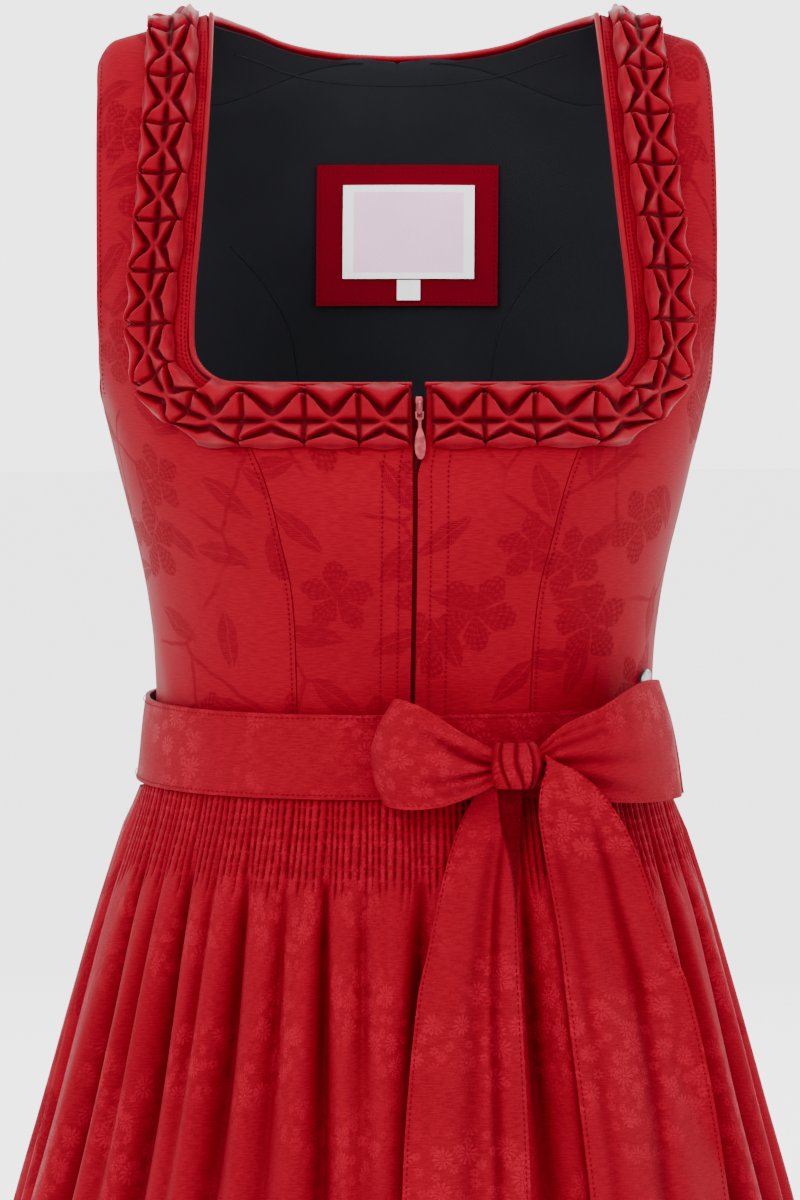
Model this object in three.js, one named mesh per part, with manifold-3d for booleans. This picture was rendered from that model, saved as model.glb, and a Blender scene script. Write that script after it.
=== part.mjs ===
import * as THREE from 'three';
import { mergeVertices } from 'three/addons/utils/BufferGeometryUtils.js';
import Module from 'manifold-3d';

// A zip-front folk dress with its gathered apron, worn by nobody.
// Millimetres, +Z up, the front faces -Y. The origin lies midway between the
// shoulders at the height of the straps, where the dress hangs from a hanger.

const WAIST_Z = -375;
const UNDERARM_Z = -188;
const FULLNESS = 2.3;
const NECK_Z = -173.5;
const SHELL = 1.5;
const LINING_GAP = 1.1;
const LINING = 1.1;
const APRON_TOP_Z = -370.6;
const SMOCK_END_Z = -415;
const PLEATS = 90;
const APRON_HEM_Z = -995;
const SKIRT_TOP_Z = -375.6;
const SKIRT_HEM_Z = -1025;
const SASH_TOP_Z = -330;
const SASH_END_Z = -370;
const APRON_HALF = 79;

const SATIN = { color: 0xc41224, roughness: 0.45, metalness: 0 };
const APRON_CLOTH = { color: 0xa81626, roughness: 0.6, metalness: 0 };
const BLACK = { color: 0x1c1c20, roughness: 0.8, metalness: 0 };
const METAL = { color: 0xd86070, roughness: 0.25, metalness: 0.9 };
const SILVER = { color: 0xb9bcc0, roughness: 0.3, metalness: 1 };
const WHITE = { color: 0xeceff4, roughness: 0.7, metalness: 0 };

// A smooth monotone curve through [x, y] points.
function curve(points) {
  const p = points.slice().sort((a, b) => a[0] - b[0]);
  const n = p.length;
  const d = [];
  for (let i = 0; i < n - 1; i += 1) {
    d.push((p[i + 1][1] - p[i][1]) / (p[i + 1][0] - p[i][0]));
  }
  const m = [d[0]];
  for (let i = 1; i < n - 1; i += 1) {
    m.push(d[i - 1] * d[i] <= 0 ? 0 : (2 * d[i - 1] * d[i]) / (d[i - 1] + d[i]));
  }
  m.push(d[n - 2]);
  return (x) => {
    if (x <= p[0][0]) return p[0][1] + m[0] * (x - p[0][0]);
    if (x >= p[n - 1][0]) return p[n - 1][1] + m[n - 1] * (x - p[n - 1][0]);
    let i = 0;
    while (x > p[i + 1][0]) i += 1;
    const h = p[i + 1][0] - p[i][0];
    const t = (x - p[i][0]) / h;
    const a = (1 + 2 * t) * (1 - t) * (1 - t);
    const b = t * (1 - t) * (1 - t);
    const c = t * t * (3 - 2 * t);
    const e = t * t * (t - 1);
    return a * p[i][1] + b * h * m[i] + c * p[i + 1][1] + e * h * m[i + 1];
  };
}

const clamp = (v, a, b) => Math.min(b, Math.max(a, v));
const lerp = (a, b, t) => a + (b - a) * t;
const smooth = (a, b, v) => {
  const t = clamp((v - a) / (b - a), 0, 1);
  return t * t * (3 - 2 * t);
};
const spow = (v, e) => Math.sign(v) * Math.abs(v) ** e;
const RAD = Math.PI / 180;

// The figure under the bodice: half width, front depth and back depth by height.
const bodyWidth = curve([[-385, 127.5], [-376, 126.5], [-352, 123.8], [-328, 121.6], [-308, 122.5],
  [-284, 125.2], [-260, 129.6], [-235, 135.7], [-210, 141.8], [-188, 147]]);
const bodyFront = curve([[-385, 93.5], [-376, 92.5], [-352, 89.5], [-330, 88], [-310, 91.5],
  [-290, 97], [-270, 102], [-250, 106.5], [-225, 108.5], [-207, 105.5], [-188, 100]]);
const bodyBack = curve([[-385, 85.5], [-376, 84.5], [-352, 80.5], [-330, 78.5], [-290, 80.5],
  [-240, 86.5], [-188, 91]]);
const upperWidth = curve([[-188, 147], [-175, 150], [-161, 152.6], [-137, 157.5], [-88, 166],
  [-40, 172], [0, 176]]);
const armholeX = curve([[-188, 147], [-175, 148.7], [-161, 149.3], [-137, 149.7], [-88, 149.7],
  [-60, 149.6], [-40, 149.2], [-18, 148.4], [0, 148]]);
const neckX = curve([[-158, 106.2], [-150, 106], [-130, 105], [-100, 102], [-60, 98.5],
  [-20, 95.5], [2, 94.5]]);
const backNeckZ = curve([[0, -19.5], [20, -18.8], [42, -16.3], [58, -12.5], [71, -7.2],
  [88, -1.2], [94.5, 1.6]]);
const princessX = curve([[-385, 55.4], [-330, 55.6], [-300, 56.5], [-276, 58], [-247, 64],
  [-222, 70], [-207, 76], [-190, 82], [-173, 86]]);
const backLow = [[38, -375], [38.6, -352], [40, -330], [42, -300], [44.5, -268], [46.5, -238],
  [48, -210], [48.6, -188]];

// The shoulder line falls from the neck point to a rounded outer corner.
function ridgeZ(x, back) {
  const s = Math.abs(x);
  if (s < 94) {
    const k = 1 - (s / 94) ** 2;
    return back ? 1.7 + 55 * k ** 1.5 : 1.7;
  }
  const round = s > 138 ? 9 * ((s - 138) / 10.5) ** 2.5 : 0;
  return 1.7 - 0.28 * (s - 94) - Math.min(round, 14);
}

// A point of the bodice from its angle round the figure and its level q:
// -1 at the waist, 0 at the underarm, 1 on the shoulder line, above 1 past it.
function skin(phi, q, back) {
  const c = spow(Math.cos(phi), 2 / FULLNESS);
  const s = spow(Math.sin(phi), 2 / FULLNESS);
  if (q <= 0) {
    const z = UNDERARM_Z + q * (UNDERARM_Z - WAIST_Z);
    const x = bodyWidth(z) * s;
    let y = back ? bodyBack(z) * c : -bodyFront(z) * c;
    if (!back) y -= bust(x, z);
    return new THREE.Vector3(x, y, z);
  }
  const over = q > 1;
  const isBack = over ? !back : back;
  const v = over ? 2 - q : q;
  const t = isBack ? Math.sin((v * Math.PI) / 2) : 1 - (1 - v) ** 1.613;
  const fall = isBack ? Math.cos((v * Math.PI) / 2) : 1 - v;
  const x = upperWidth(UNDERARM_Z * (1 - t)) * s;
  const z = UNDERARM_Z + (ridgeZ(x, isBack) - UNDERARM_Z) * t;
  const depth = (isBack ? 91 : -100) * fall * c;
  const swell = isBack ? 0 : bust(x, z) * (1 - t);
  return new THREE.Vector3(x, depth - swell, z);
}

// The fullness over each breast.
function bust(x, z) {
  const s = (Math.abs(x) - 60) / 36;
  const h = (z + 222) / 42;
  return 6 * Math.exp(-s * s - h * h);
}

// The angle and level of a point given by its x and z.
function find(x, z, back) {
  if (z <= UNDERARM_Z) {
    const q = (z - UNDERARM_Z) / (UNDERARM_Z - WAIST_Z);
    return [turn(x / bodyWidth(z)), q];
  }
  const t = clamp((z - UNDERARM_Z) / (ridgeZ(x, back) - UNDERARM_Z), 0, 1);
  const q = back ? Math.asin(t) / (Math.PI / 2) : 1 - (1 - t) ** 0.62;
  return [turn(x / upperWidth(UNDERARM_Z * (1 - t))), q];
}

// The same on the shoulder line.
function ridge(x) {
  return [turn(x / upperWidth(0)), 1];
}

// The side seam below the underarm, a hair short of it.
function sideSeam(side, z) {
  return [side * (Math.PI / 2 - 0.0012), (z - UNDERARM_Z) / (UNDERARM_Z - WAIST_Z)];
}

function turn(s) {
  return Math.sign(s) * Math.asin(Math.min(1, Math.abs(s) ** (FULLNESS / 2)));
}

function skinNormal(phi, q, back) {
  const e = 0.02;
  const a = skin(phi + e, q, back).sub(skin(phi - e, q, back));
  const b = skin(phi, q + e, back).sub(skin(phi, q - e, back));
  const n = a.cross(b).normalize();
  const p = skin(phi, q, back);
  if (n.dot(new THREE.Vector3(p.x, p.y * 1.4, p.z + 200)) < 0) n.negate();
  return n;
}

function lay(phi, q, back, out) {
  return skin(phi, q, back).addScaledVector(skinNormal(phi, q, back), out);
}

// Two rows of points joined by triangles, walked together by their shares.
function knit(a, b, tris) {
  let i = 0;
  let j = 0;
  const na = a.length - 1;
  const nb = b.length - 1;
  while (i < na || j < nb) {
    if (j === nb || (i < na && (i + 1) / na <= (j + 1) / nb + 1e-9)) {
      tris.push(a[i], a[i + 1], b[j]);
      i += 1;
    } else {
      tris.push(a[i], b[j + 1], b[j]);
      j += 1;
    }
  }
}

// A closed sheet of cloth between outer rows and inner rows of points.
// A ring closes on itself; the rows of one face may differ in length.
function cloth(outer, inner, ring = false) {
  const pos = [];
  const index = (rows) => rows.map((row) => {
    const ids = row.map((p) => {
      pos.push(p.x, p.y, p.z);
      return pos.length / 3 - 1;
    });
    if (ring) ids.push(ids[0]);
    return ids;
  });
  const o = index(outer);
  const n = index(inner);
  const tris = [];
  for (let k = 0; k < o.length - 1; k += 1) knit(o[k], o[k + 1], tris);
  for (let k = 0; k < n.length - 1; k += 1) knit(n[k + 1], n[k], tris);
  knit(n[0], o[0], tris);
  knit(o[o.length - 1], n[n.length - 1], tris);
  if (!ring) {
    knit(o.map((r) => r[0]), n.map((r) => r[0]), tris);
    knit(n.map((r) => r[r.length - 1]), o.map((r) => r[r.length - 1]), tris);
  }
  return solid(pos, tris);
}

function solid(pos, tris) {
  let volume = 0;
  const v = (i) => new THREE.Vector3(pos[3 * i], pos[3 * i + 1], pos[3 * i + 2]);
  for (let t = 0; t < tris.length; t += 3) {
    volume += v(tris[t]).dot(v(tris[t + 1]).cross(v(tris[t + 2])));
  }
  if (volume < 0) {
    for (let t = 0; t < tris.length; t += 3) {
      [tris[t], tris[t + 1]] = [tris[t + 1], tris[t]];
    }
  }
  const g = new THREE.BufferGeometry();
  g.setAttribute('position', new THREE.Float32BufferAttribute(pos, 3));
  g.setIndex(tris);
  g.computeVertexNormals();
  return g;
}

// A panel ruled between two matching edges of [angle, level] pairs.
function panel(edgeA, edgeB, steps, back, out, thick) {
  const rows = (d) => edgeA.map((a, k) => {
    const row = [];
    for (let m = 0; m <= steps; m += 1) {
      const t = m / steps;
      const [phi, q] = [lerp(a[0], edgeB[k][0], t), lerp(a[1], edgeB[k][1], t)];
      row.push(lay(phi, q, back, d));
    }
    return row;
  });
  return cloth(rows(out), rows(out - thick));
}

const dress = new THREE.Group();

function add(name, geometry, look) {
  const mesh = new THREE.Mesh(geometry, new THREE.MeshStandardMaterial(look));
  mesh.name = name;
  dress.add(mesh);
  return mesh;
}

// The centre front edge of each side leaves room for the zip at its top.
const zipLine = curve([[-385, -0.9], [-215, -0.9], [-200, 1.2], [-172, 1.6]]);
const zipRoom = curve([[-385, 1.1], [-214, 1.1], [-200, 3.1], [-172, 3.9]]);

const GAP = 0.2;
const NECK_EDGE = 1.05;
const lowRows = [-375, -352, -330, -308, -288, -268, -250, -233, -217, -202];

for (const side of [-1, 1]) {
  const tag = side < 0 ? 'left' : 'right';

  // Front panel between the zip and the princess seam.
  const frontRows = [...lowRows, -188, -174.8];
  const inA = frontRows.map((z) => find(zipLine(z) + side * zipRoom(z), z, false));
  const outA = frontRows.map((z) => find(side * (princessX(z) - GAP), z, false));
  add(`bodice_front_${tag}`, panel(inA, outA, 5, false, 0, SHELL), SATIN);

  // Side front panel with the strap.
  const sideIn = lowRows.map((z) => find(side * (princessX(z) + GAP), z, false));
  const sideOut = lowRows.map((z) => sideSeam(side, z));
  const corner = [[-188, 83], [-180, 85.2], [-175, 90.4], [-172.4, 96.2], [-167.5, 102.2], [-158, 106.4]];
  for (const [z, x] of corner) {
    sideIn.push(find(side * (x + GAP), z, false));
    sideOut.push(find(side * (armholeX(z) - GAP), z, false));
  }
  for (const z of [-138, -110, -84, -60, -40, -24, -11]) {
    sideIn.push(find(side * (neckX(z) + NECK_EDGE), z, false));
    const drop = z - (z + 188) * 0.09;
    sideOut.push(find(side * armholeX(drop), drop, false));
  }
  sideIn.push([ridge(side * 95.8)[0], 0.985], [ridge(side * 95.8)[0], 0.9985]);
  sideOut.push([ridge(side * 148.4)[0], 0.94], [ridge(side * 147.2)[0], 0.9985]);
  add(`bodice_side_${tag}`, panel(sideIn, sideOut, 6, false, 0, SHELL), SATIN);

  // Side back panel between the curved seam and the side seam.
  const seamRows = [...backLow, [50, -137], [62, -106], [84, -78], [112, -61], [149.2, -55]];
  const backIn = seamRows.map(([x, z]) => find(side * (x + (x < 100 ? GAP : 0)), x > 60 ? z - GAP : z, true));
  const backOut = seamRows.map(([, z], k) => {
    if (z <= -188) return sideSeam(side, z);
    const level = [-184, -174, -152, -118, -84, -62][k - backLow.length + 1];
    return find(side * armholeX(level), level, true);
  });
  add(`bodice_back_${tag}`, panel(backIn, backOut, 6, true, 0, SHELL), SATIN);
}

// A panel that is cut on the fold: one half from the centre line outwards and
// its mirror image, joined along the first rows, where the edge is the fold.
function foldPanel(edgeIn, edgeOut, steps, open, out, thick, sink = 0) {
  const rows = (d) => edgeIn.map((a, k) => {
    const row = [];
    for (let m = 0; m <= steps; m += 1) {
      const t = m / steps;
      const q = lerp(a[1], edgeOut[k][1], t);
      const low = sink * smooth(0.1, 0.34, q) * (1 - smooth(0.84, 0.98, q));
      const p = lay(lerp(a[0], edgeOut[k][0], t), q, true, d - low);
      if (m === 0 && k <= open) p.x = 0;
      row.push(p);
    }
    return row;
  });
  const pos = [];
  const index = (grid) => grid.map((r) => r.map((p) => {
    pos.push(p.x, p.y, p.z);
    return pos.length / 3 - 1;
  }));
  const o = index(rows(out));
  const n = index(rows(out - thick));
  const tris = [];
  for (let k = 0; k < o.length - 1; k += 1) {
    knit(o[k], o[k + 1], tris);
    knit(n[k + 1], n[k], tris);
  }
  knit(n[0], o[0], tris);
  knit(o[o.length - 1], n[n.length - 1], tris);
  knit(o.slice(open).map((r) => r[0]), n.slice(open).map((r) => r[0]), tris);
  knit(n.map((r) => r[r.length - 1]), o.map((r) => r[r.length - 1]), tris);
  const count = pos.length / 3;
  for (let i = 0; i < count; i += 1) pos.push(-pos[3 * i], pos[3 * i + 1], pos[3 * i + 2]);
  const half = tris.length;
  for (let t = 0; t < half; t += 3) tris.push(tris[t + 1] + count, tris[t] + count, tris[t + 2] + count);
  const g = solid(pos, tris);
  g.deleteAttribute('normal');
  const merged = mergeVertices(g, 1e-4);
  merged.computeVertexNormals();
  return merged;
}

// The rows of the back above the neck centre, on the neck and the armhole.
function strapRows(edgeIn, edgeOut, inset, side) {
  for (const [x, z] of [[26, -44], [46, -40.5], [62, -37.5], [75, -35], [85, -32.5], [91, -30]]) {
    edgeIn.push(find(x, backNeckZ(x) - inset, true));
    edgeOut.push(find(149 - side, z, true));
  }
  edgeIn.push([ridge(94.6 + side)[0], 0.93], [ridge(95.6 + side)[0], 0.965]);
  edgeOut.push([ridge(148.5 - side)[0], 0.945], [ridge(148 - side)[0], 0.972]);
  edgeIn.push([ridge(95.6 + side)[0], 0.9985]);
  edgeOut.push([ridge(147.2 - side)[0], 0.9985]);
}

// Back panel with the neck curve and both straps.
{
  const edgeIn = backLow.map(([, z]) => find(0, z, true));
  const edgeOut = backLow.map(([x, z]) => find(x - GAP, z, true));
  const rising = [[-137, 50, -137], [-108, 62, -106], [-84, 84, -78], [-64, 112, -61], [-44, 149, -55]];
  for (const [zc, x, z] of rising) {
    edgeIn.push(find(0, zc, true));
    edgeOut.push(find(x - (x < 100 ? GAP : 0), x > 60 ? z + GAP : z, true));
  }
  edgeIn.push(find(0, backNeckZ(0) - NECK_EDGE, true));
  edgeOut.push(find(149.1, -48, true));
  const open = edgeIn.length - 1;
  strapRows(edgeIn, edgeOut, NECK_EDGE, 0);
  add('bodice_back_centre', foldPanel(edgeIn, edgeOut, 8, open, 0, SHELL), SATIN);
}

// The black lining: two fronts with the sides and straps, and the whole back.
const inside = -(SHELL + LINING_GAP);
for (const side of [-1, 1]) {
  const tag = side < 0 ? 'left' : 'right';
  const rows = [-374.6, ...lowRows.slice(1), -188];
  const edgeIn = rows.map((z) => find(zipLine(z) + side * 13.5, z, false));
  const edgeOut = rows.map((z) => sideSeam(side, z));
  for (const [z, x, up] of [[-175.8, 14.5, -180], [-175.8, 62, -170], [-175, 90, -158],
    [-171.5, 98.5, -146], [-160, 106.6, -132]]) {
    edgeIn.push(find(side * x, z, false));
    edgeOut.push(find(side * (armholeX(up) - 0.5), up, false));
  }
  for (const [z, up] of [[-128, -108], [-96, -84], [-66, -60], [-40, -41], [-20, -32]]) {
    edgeIn.push(find(side * (neckX(z) + 1.2), z, false));
    edgeOut.push(find(side * (armholeX(up) - 0.5), up, false));
  }
  edgeIn.push([ridge(side * 96)[0], 0.97], [ridge(side * 96)[0], 0.998]);
  edgeOut.push([ridge(side * 147.6)[0], 0.94], [ridge(side * 146.4)[0], 0.998]);
  add(`lining_front_${tag}`, panel(edgeIn, edgeOut, 8, false, inside, LINING), BLACK);
}
{
  const rows = [-374.6, -352, -330, -302, -262, -224, -188, -160, -132, -106, -84, -64, -44];
  const edgeIn = rows.map((z) => find(0, z, true));
  const edgeOut = rows.map((z) => {
    if (z <= -188) return sideSeam(1, z);
    const low = -188 + (z + 188) * 0.9 + 3;
    return find(armholeX(low) - 0.5, low, true);
  });
  edgeIn.push(find(0, backNeckZ(0) - 1.3, true));
  edgeOut.push(find(148.8, -46, true));
  const open = edgeIn.length - 1;
  strapRows(edgeIn, edgeOut, 1.3, 0.4);
  add('lining_back', foldPanel(edgeIn, edgeOut, 8, open, inside, LINING, 1.6), BLACK);
}

// Tube of round or oval section along stations of [centre, across, up].
function tube(stations, width, height, sides) {
  const rows = stations.map(([c, u, v]) => {
    const ring = [];
    for (let k = 0; k < sides; k += 1) {
      const a = (k / sides) * 2 * Math.PI;
      ring.push(c.clone()
        .addScaledVector(u, (Math.cos(a) * width) / 2)
        .addScaledVector(v, (Math.sin(a) * height) / 2));
    }
    return ring;
  });
  const pos = [];
  rows.flat().forEach((p) => pos.push(p.x, p.y, p.z));
  const tris = [];
  const id = (r, k) => r * sides + (k % sides);
  for (let r = 0; r < rows.length - 1; r += 1) {
    for (let k = 0; k < sides; k += 1) {
      tris.push(id(r, k), id(r, k + 1), id(r + 1, k));
      tris.push(id(r, k + 1), id(r + 1, k + 1), id(r + 1, k));
    }
  }
  const last = rows.length - 1;
  for (let k = 1; k < sides - 1; k += 1) {
    tris.push(id(0, 0), id(0, k + 1), id(0, k));
    tris.push(id(last, 0), id(last, k), id(last, k + 1));
  }
  return solid(pos, tris);
}

// The path of the neck edge on one side, from the zip to the back centre.
function neckPath(side) {
  const p = [];
  for (const x of [4.6, 22, 42, 62, 80]) p.push([...find(side * x, NECK_Z + 0.3, false), false]);
  for (const [x, z] of [[89.5, -172.9], [96, -170.4], [101.5, -165.5], [104.7, -159], [105.4, -148]]) {
    p.push([...find(side * x, z, false), false]);
  }
  for (const z of [-126, -102, -78, -56, -37, -22]) {
    p.push([...find(side * (neckX(z) - 0.6), z, false), false]);
  }
  p.push([ridge(side * 94)[0], 0.93, false], [ridge(side * 93.6)[0], 1, false]);
  p.push([ridge(side * 93)[0], 1.07, false]);
  for (const x of [88, 80, 71, 61, 50, 37, 24, 12]) {
    p.push([...find(side * x, backNeckZ(x) + 0.5, true), true]);
  }
  return p;
}
{
  const left = neckPath(-1);
  const right = neckPath(1);
  const all = [...left, [...find(0, backNeckZ(0) + 0.5, true), true], ...right.reverse()];
  const mid = all.map(([phi, q, back]) => lay(phi, q, back, -1.5));
  const stations = mid.map((c, i) => {
    const a = mid[Math.max(0, i - 1)];
    const b = mid[Math.min(mid.length - 1, i + 1)];
    const along = b.clone().sub(a).normalize();
    const [phi, q, back] = all[i];
    const n = skinNormal(phi, q, back);
    n.addScaledVector(along, -n.dot(along)).normalize();
    const u = along.clone().cross(n).normalize();
    return [c, u, n];
  });
  add('neck_piping', tube(stations, 2.0, 4.2, 5), SATIN);
}

// The box-pleated trim: thirteen pleats a side, each drawn to a cross.
const TRIM_HALF = 13;
const TRIM_LIFT = 0.75;
const LEFT_PLEATS = [24, 25, 30, 30, 26, 25, 25, 24.5, 23, 25, 25, 25, 24];
const RIGHT_PLEATS = [25, 24, 31, 29, 26, 25, 25.5, 25.5, 26, 26, 24, 24, 22];

function trimPath(side) {
  const start = side < 0 ? 3.2 : 7.2;
  const points = [];
  const c = NECK_Z - 17.6;
  for (let x = start; x < 89; x += 4) points.push([x, c]);
  for (let a = 0; a <= 90; a += 7.5) {
    points.push([89 + 34.5 * Math.sin(a * RAD), c + 34.5 * (1 - Math.cos(a * RAD))]);
  }
  for (let z = c + 40; z < -8; z += 5) points.push([neckX(z) + 17.6, z]);
  const list = points.map(([x, z]) => find(side * x, z, false));
  for (const q of [0.95, 0.98, 1.01, 1.04, 1.07, 1.1]) {
    list.push([ridge(side * 112)[0], q]);
  }
  return list;
}

// A lookup from length along the trim to its place on the bodice.
function trimMap(side) {
  const list = trimPath(side);
  const pts = list.map(([phi, q]) => skin(phi, q, false));
  const len = [0];
  for (let i = 1; i < pts.length; i += 1) len.push(len[i - 1] + pts[i].distanceTo(pts[i - 1]));
  const total = len[len.length - 1];
  const at = (s) => {
    const v = clamp(s, 0, total);
    let i = 0;
    while (i < len.length - 2 && v > len[i + 1]) i += 1;
    const t = (v - len[i]) / (len[i + 1] - len[i]);
    return [lerp(list[i][0], list[i + 1][0], t), lerp(list[i][1], list[i + 1][1], t)];
  };
  const place = (s, across, out) => {
    const [phi, q] = at(s);
    const p = skin(phi, q, false);
    const a = skin(...at(s - 6), false);
    const b = skin(...at(s + 6), false);
    const n = skinNormal(phi, q, false);
    const along = b.sub(a).normalize();
    const lateral = along.clone().cross(n).normalize();
    const e = 0.01;
    const dp = skin(phi + e, q, false).sub(p).divideScalar(e);
    const dq = skin(phi, q + e, false).sub(p).divideScalar(e);
    const [aa, ab, bb] = [dp.dot(dp), dp.dot(dq), dq.dot(dq)];
    const [ra, rb] = [dp.dot(lateral), dq.dot(lateral)];
    const det = aa * bb - ab * ab;
    const cp = (bb * ra - ab * rb) / det;
    const cq = (aa * rb - ab * ra) / det;
    const over = 0.9 * smooth(total - 62, total - 28, s);
    return lay(phi + cp * across, q + cq * across, false, out + over);
  };
  return { total, place };
}

// Height of one pleat over s (along) and t (across), both from -1 to 1.
const PLEAT_S = [-1, -0.7, -0.36, 0, 0.36, 0.7];
const PLEAT_T = [-1, -0.7, -0.36, 0, 0.36, 0.7, 1];
const PLEAT_H = [
  [1.1, 1.1, 1.1, 1.1, 1.1, 1.1, 1.1],
  [1.6, 7.6, 6.0, 3.2, 6.0, 7.6, 1.6],
  [1.5, 6.6, 5.4, 2.2, 5.4, 6.6, 1.5],
  [1.4, 3.6, 2.4, 3.6, 2.4, 3.6, 1.4],
  [1.5, 6.6, 5.4, 2.2, 5.4, 6.6, 1.5],
  [1.6, 7.6, 6.0, 3.2, 6.0, 7.6, 1.6],
];

for (const side of [-1, 1]) {
  const tag = side < 0 ? 'left' : 'right';
  const map = trimMap(side);
  const widths = side < 0 ? LEFT_PLEATS : RIGHT_PLEATS;
  const scale = map.total / widths.reduce((a, b) => a + b, 0);
  const columns = [];
  let s0 = 0;
  for (const w of widths) {
    PLEAT_S.forEach((s, k) => {
      columns.push([s0 + ((s + 1) / 2) * w * scale, PLEAT_H[k]]);
    });
    s0 += w * scale;
  }
  columns.push([s0, PLEAT_H[0]]);
  const outer = PLEAT_T.map((t, j) => columns.map(([s, h]) => (
    map.place(s, t * TRIM_HALF, TRIM_LIFT + h[j])
  )));
  const inner = [-1, 0, 1].map((t) => columns.filter((c, i) => i % 2 === 0).map(([s]) => (
    map.place(s, t * TRIM_HALF, TRIM_LIFT)
  )));
  add(`trim_${tag}`, cloth(outer, inner), SATIN);
}

// The zip: a tape behind the front edges with the coil raised along its middle.
{
  const zs = [-374.6, ...lowRows.slice(1), -188, -179];
  const lateral = [-12, -0.75, -0.3, 0.3, 0.75, 12];
  const height = [0, 0, 1.2, 1.2, 0, 0];
  const row = (z, d, raise) => lateral.map((x, i) => {
    const [phi, q] = find(zipLine(z) + x, z, false);
    return lay(phi, q, false, -(SHELL + LINING_GAP) + d + raise * height[i]);
  });
  add('zip_tape', cloth(zs.map((z) => row(z, 0, 1)), zs.map((z) => row(z, -1, 0))), SATIN);
}

// Boolean helpers for the small hard pieces.
const wasm = await Module();
wasm.setup();

function toManifold(geometry) {
  const g = geometry.clone();
  g.deleteAttribute('normal');
  g.deleteAttribute('uv');
  const m = mergeVertices(g, 1e-3);
  return new wasm.Manifold(new wasm.Mesh({
    numProp: 3,
    vertProperties: new Float32Array(m.attributes.position.array),
    triVerts: new Uint32Array(m.index.array),
  }));
}

function fromManifold(body) {
  const m = body.getMesh();
  const g = new THREE.BufferGeometry();
  const pos = [];
  for (let i = 0; i < m.vertProperties.length; i += m.numProp) {
    pos.push(m.vertProperties[i], m.vertProperties[i + 1], m.vertProperties[i + 2]);
  }
  g.setAttribute('position', new THREE.Float32BufferAttribute(pos, 3));
  g.setIndex(Array.from(m.triVerts));
  g.computeVertexNormals();
  return g;
}

// A flat shape in the x-z plane given thickness along y.
function plate(shape, depth, bevel, segments = 8) {
  const g = new THREE.ExtrudeGeometry(shape, {
    depth: depth - 2 * bevel,
    bevelEnabled: bevel > 0,
    bevelThickness: bevel,
    bevelSize: bevel,
    bevelOffset: -bevel,
    bevelSegments: 1,
    curveSegments: segments,
  });
  g.translate(0, 0, -(depth - 2 * bevel) / 2);
  g.rotateX(Math.PI / 2);
  return g;
}

// The slider and its pull lean with the cloth they lie on.
const SLIDER_Z = -184;
const SLIDER_X = zipLine(SLIDER_Z);
const frontAt = (z) => skin(...find(SLIDER_X, z, false), false).y;
const LEAN = -Math.atan2(frontAt(SLIDER_Z + 5) - frontAt(SLIDER_Z - 5), 10);
const hard = new THREE.Group();
hard.position.set(SLIDER_X, frontAt(SLIDER_Z), SLIDER_Z);
hard.rotation.x = LEAN;
dress.add(hard);
{
  const body = new THREE.Shape();
  body.moveTo(-1.4, 5);
  body.lineTo(1.4, 5);
  body.quadraticCurveTo(2.1, 4, 1.9, 2);
  body.lineTo(1.5, -4.6);
  body.quadraticCurveTo(0, -5.2, -1.5, -4.6);
  body.lineTo(-1.9, 2);
  body.quadraticCurveTo(-2.1, 4, -1.4, 5);
  const base = plate(body, 2.0, 0.35, 3);
  base.translate(0, -0.35, 0);
  const crown = new THREE.Shape();
  crown.moveTo(-4.6, 0);
  crown.lineTo(-4.6, 1.7);
  crown.quadraticCurveTo(-4.4, 3.1, -3, 3.2);
  crown.lineTo(1.5, 2.5);
  crown.quadraticCurveTo(3, 2, 3.2, 0);
  crown.closePath();
  const hole = new THREE.Path();
  hole.moveTo(-3.9, 0.45);
  hole.lineTo(-1.0, 0.45);
  hole.lineTo(-1.0, 2.2);
  hole.lineTo(-2.9, 2.4);
  hole.quadraticCurveTo(-3.7, 2.4, -3.9, 1.6);
  hole.closePath();
  crown.holes.push(hole);
  const bridge = new THREE.ExtrudeGeometry(crown, {
    depth: 1.1, bevelEnabled: false, curveSegments: 3,
  });
  bridge.translate(0, 0, -0.55);
  bridge.applyMatrix4(new THREE.Matrix4().makeBasis(
    new THREE.Vector3(0, 0, 1),
    new THREE.Vector3(0, -1, 0),
    new THREE.Vector3(1, 0, 0),
  ));
  bridge.translate(0, -1.15, 0);
  const mesh = new THREE.Mesh(
    fromManifold(toManifold(base).add(toManifold(bridge))),
    new THREE.MeshStandardMaterial(METAL),
  );
  mesh.name = 'zip_slider';
  hard.add(mesh);
}
// The pull: a square link through the bridge, a neck and a drop.
{
  const drop = new THREE.Shape();
  drop.moveTo(-2.05, 0.4);
  drop.lineTo(2.05, 0.4);
  drop.lineTo(1.9, -3.0);
  drop.lineTo(0.75, -3.9);
  drop.lineTo(0.7, -7.2);
  drop.bezierCurveTo(1.2, -9, 2.6, -11.5, 2.6, -16.4);
  drop.bezierCurveTo(2.6, -20.4, 1.4, -22.8, 0, -22.8);
  drop.bezierCurveTo(-1.4, -22.8, -2.6, -20.4, -2.6, -16.4);
  drop.bezierCurveTo(-2.6, -11.5, -1.2, -9, -0.7, -7.2);
  drop.lineTo(-0.75, -3.9);
  drop.lineTo(-1.9, -3.0);
  drop.closePath();
  const eye = new THREE.Path();
  eye.moveTo(-1.3, -0.4);
  eye.lineTo(-1.2, -2.5);
  eye.lineTo(1.2, -2.5);
  eye.lineTo(1.3, -0.4);
  eye.closePath();
  drop.holes.push(eye);
  const g = plate(drop, 0.8, 0, 6);
  const mesh = new THREE.Mesh(g, new THREE.MeshStandardMaterial(METAL));
  mesh.name = 'zip_pull';
  mesh.position.set(0, -2.6, -3.2);
  hard.add(mesh);
}

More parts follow.
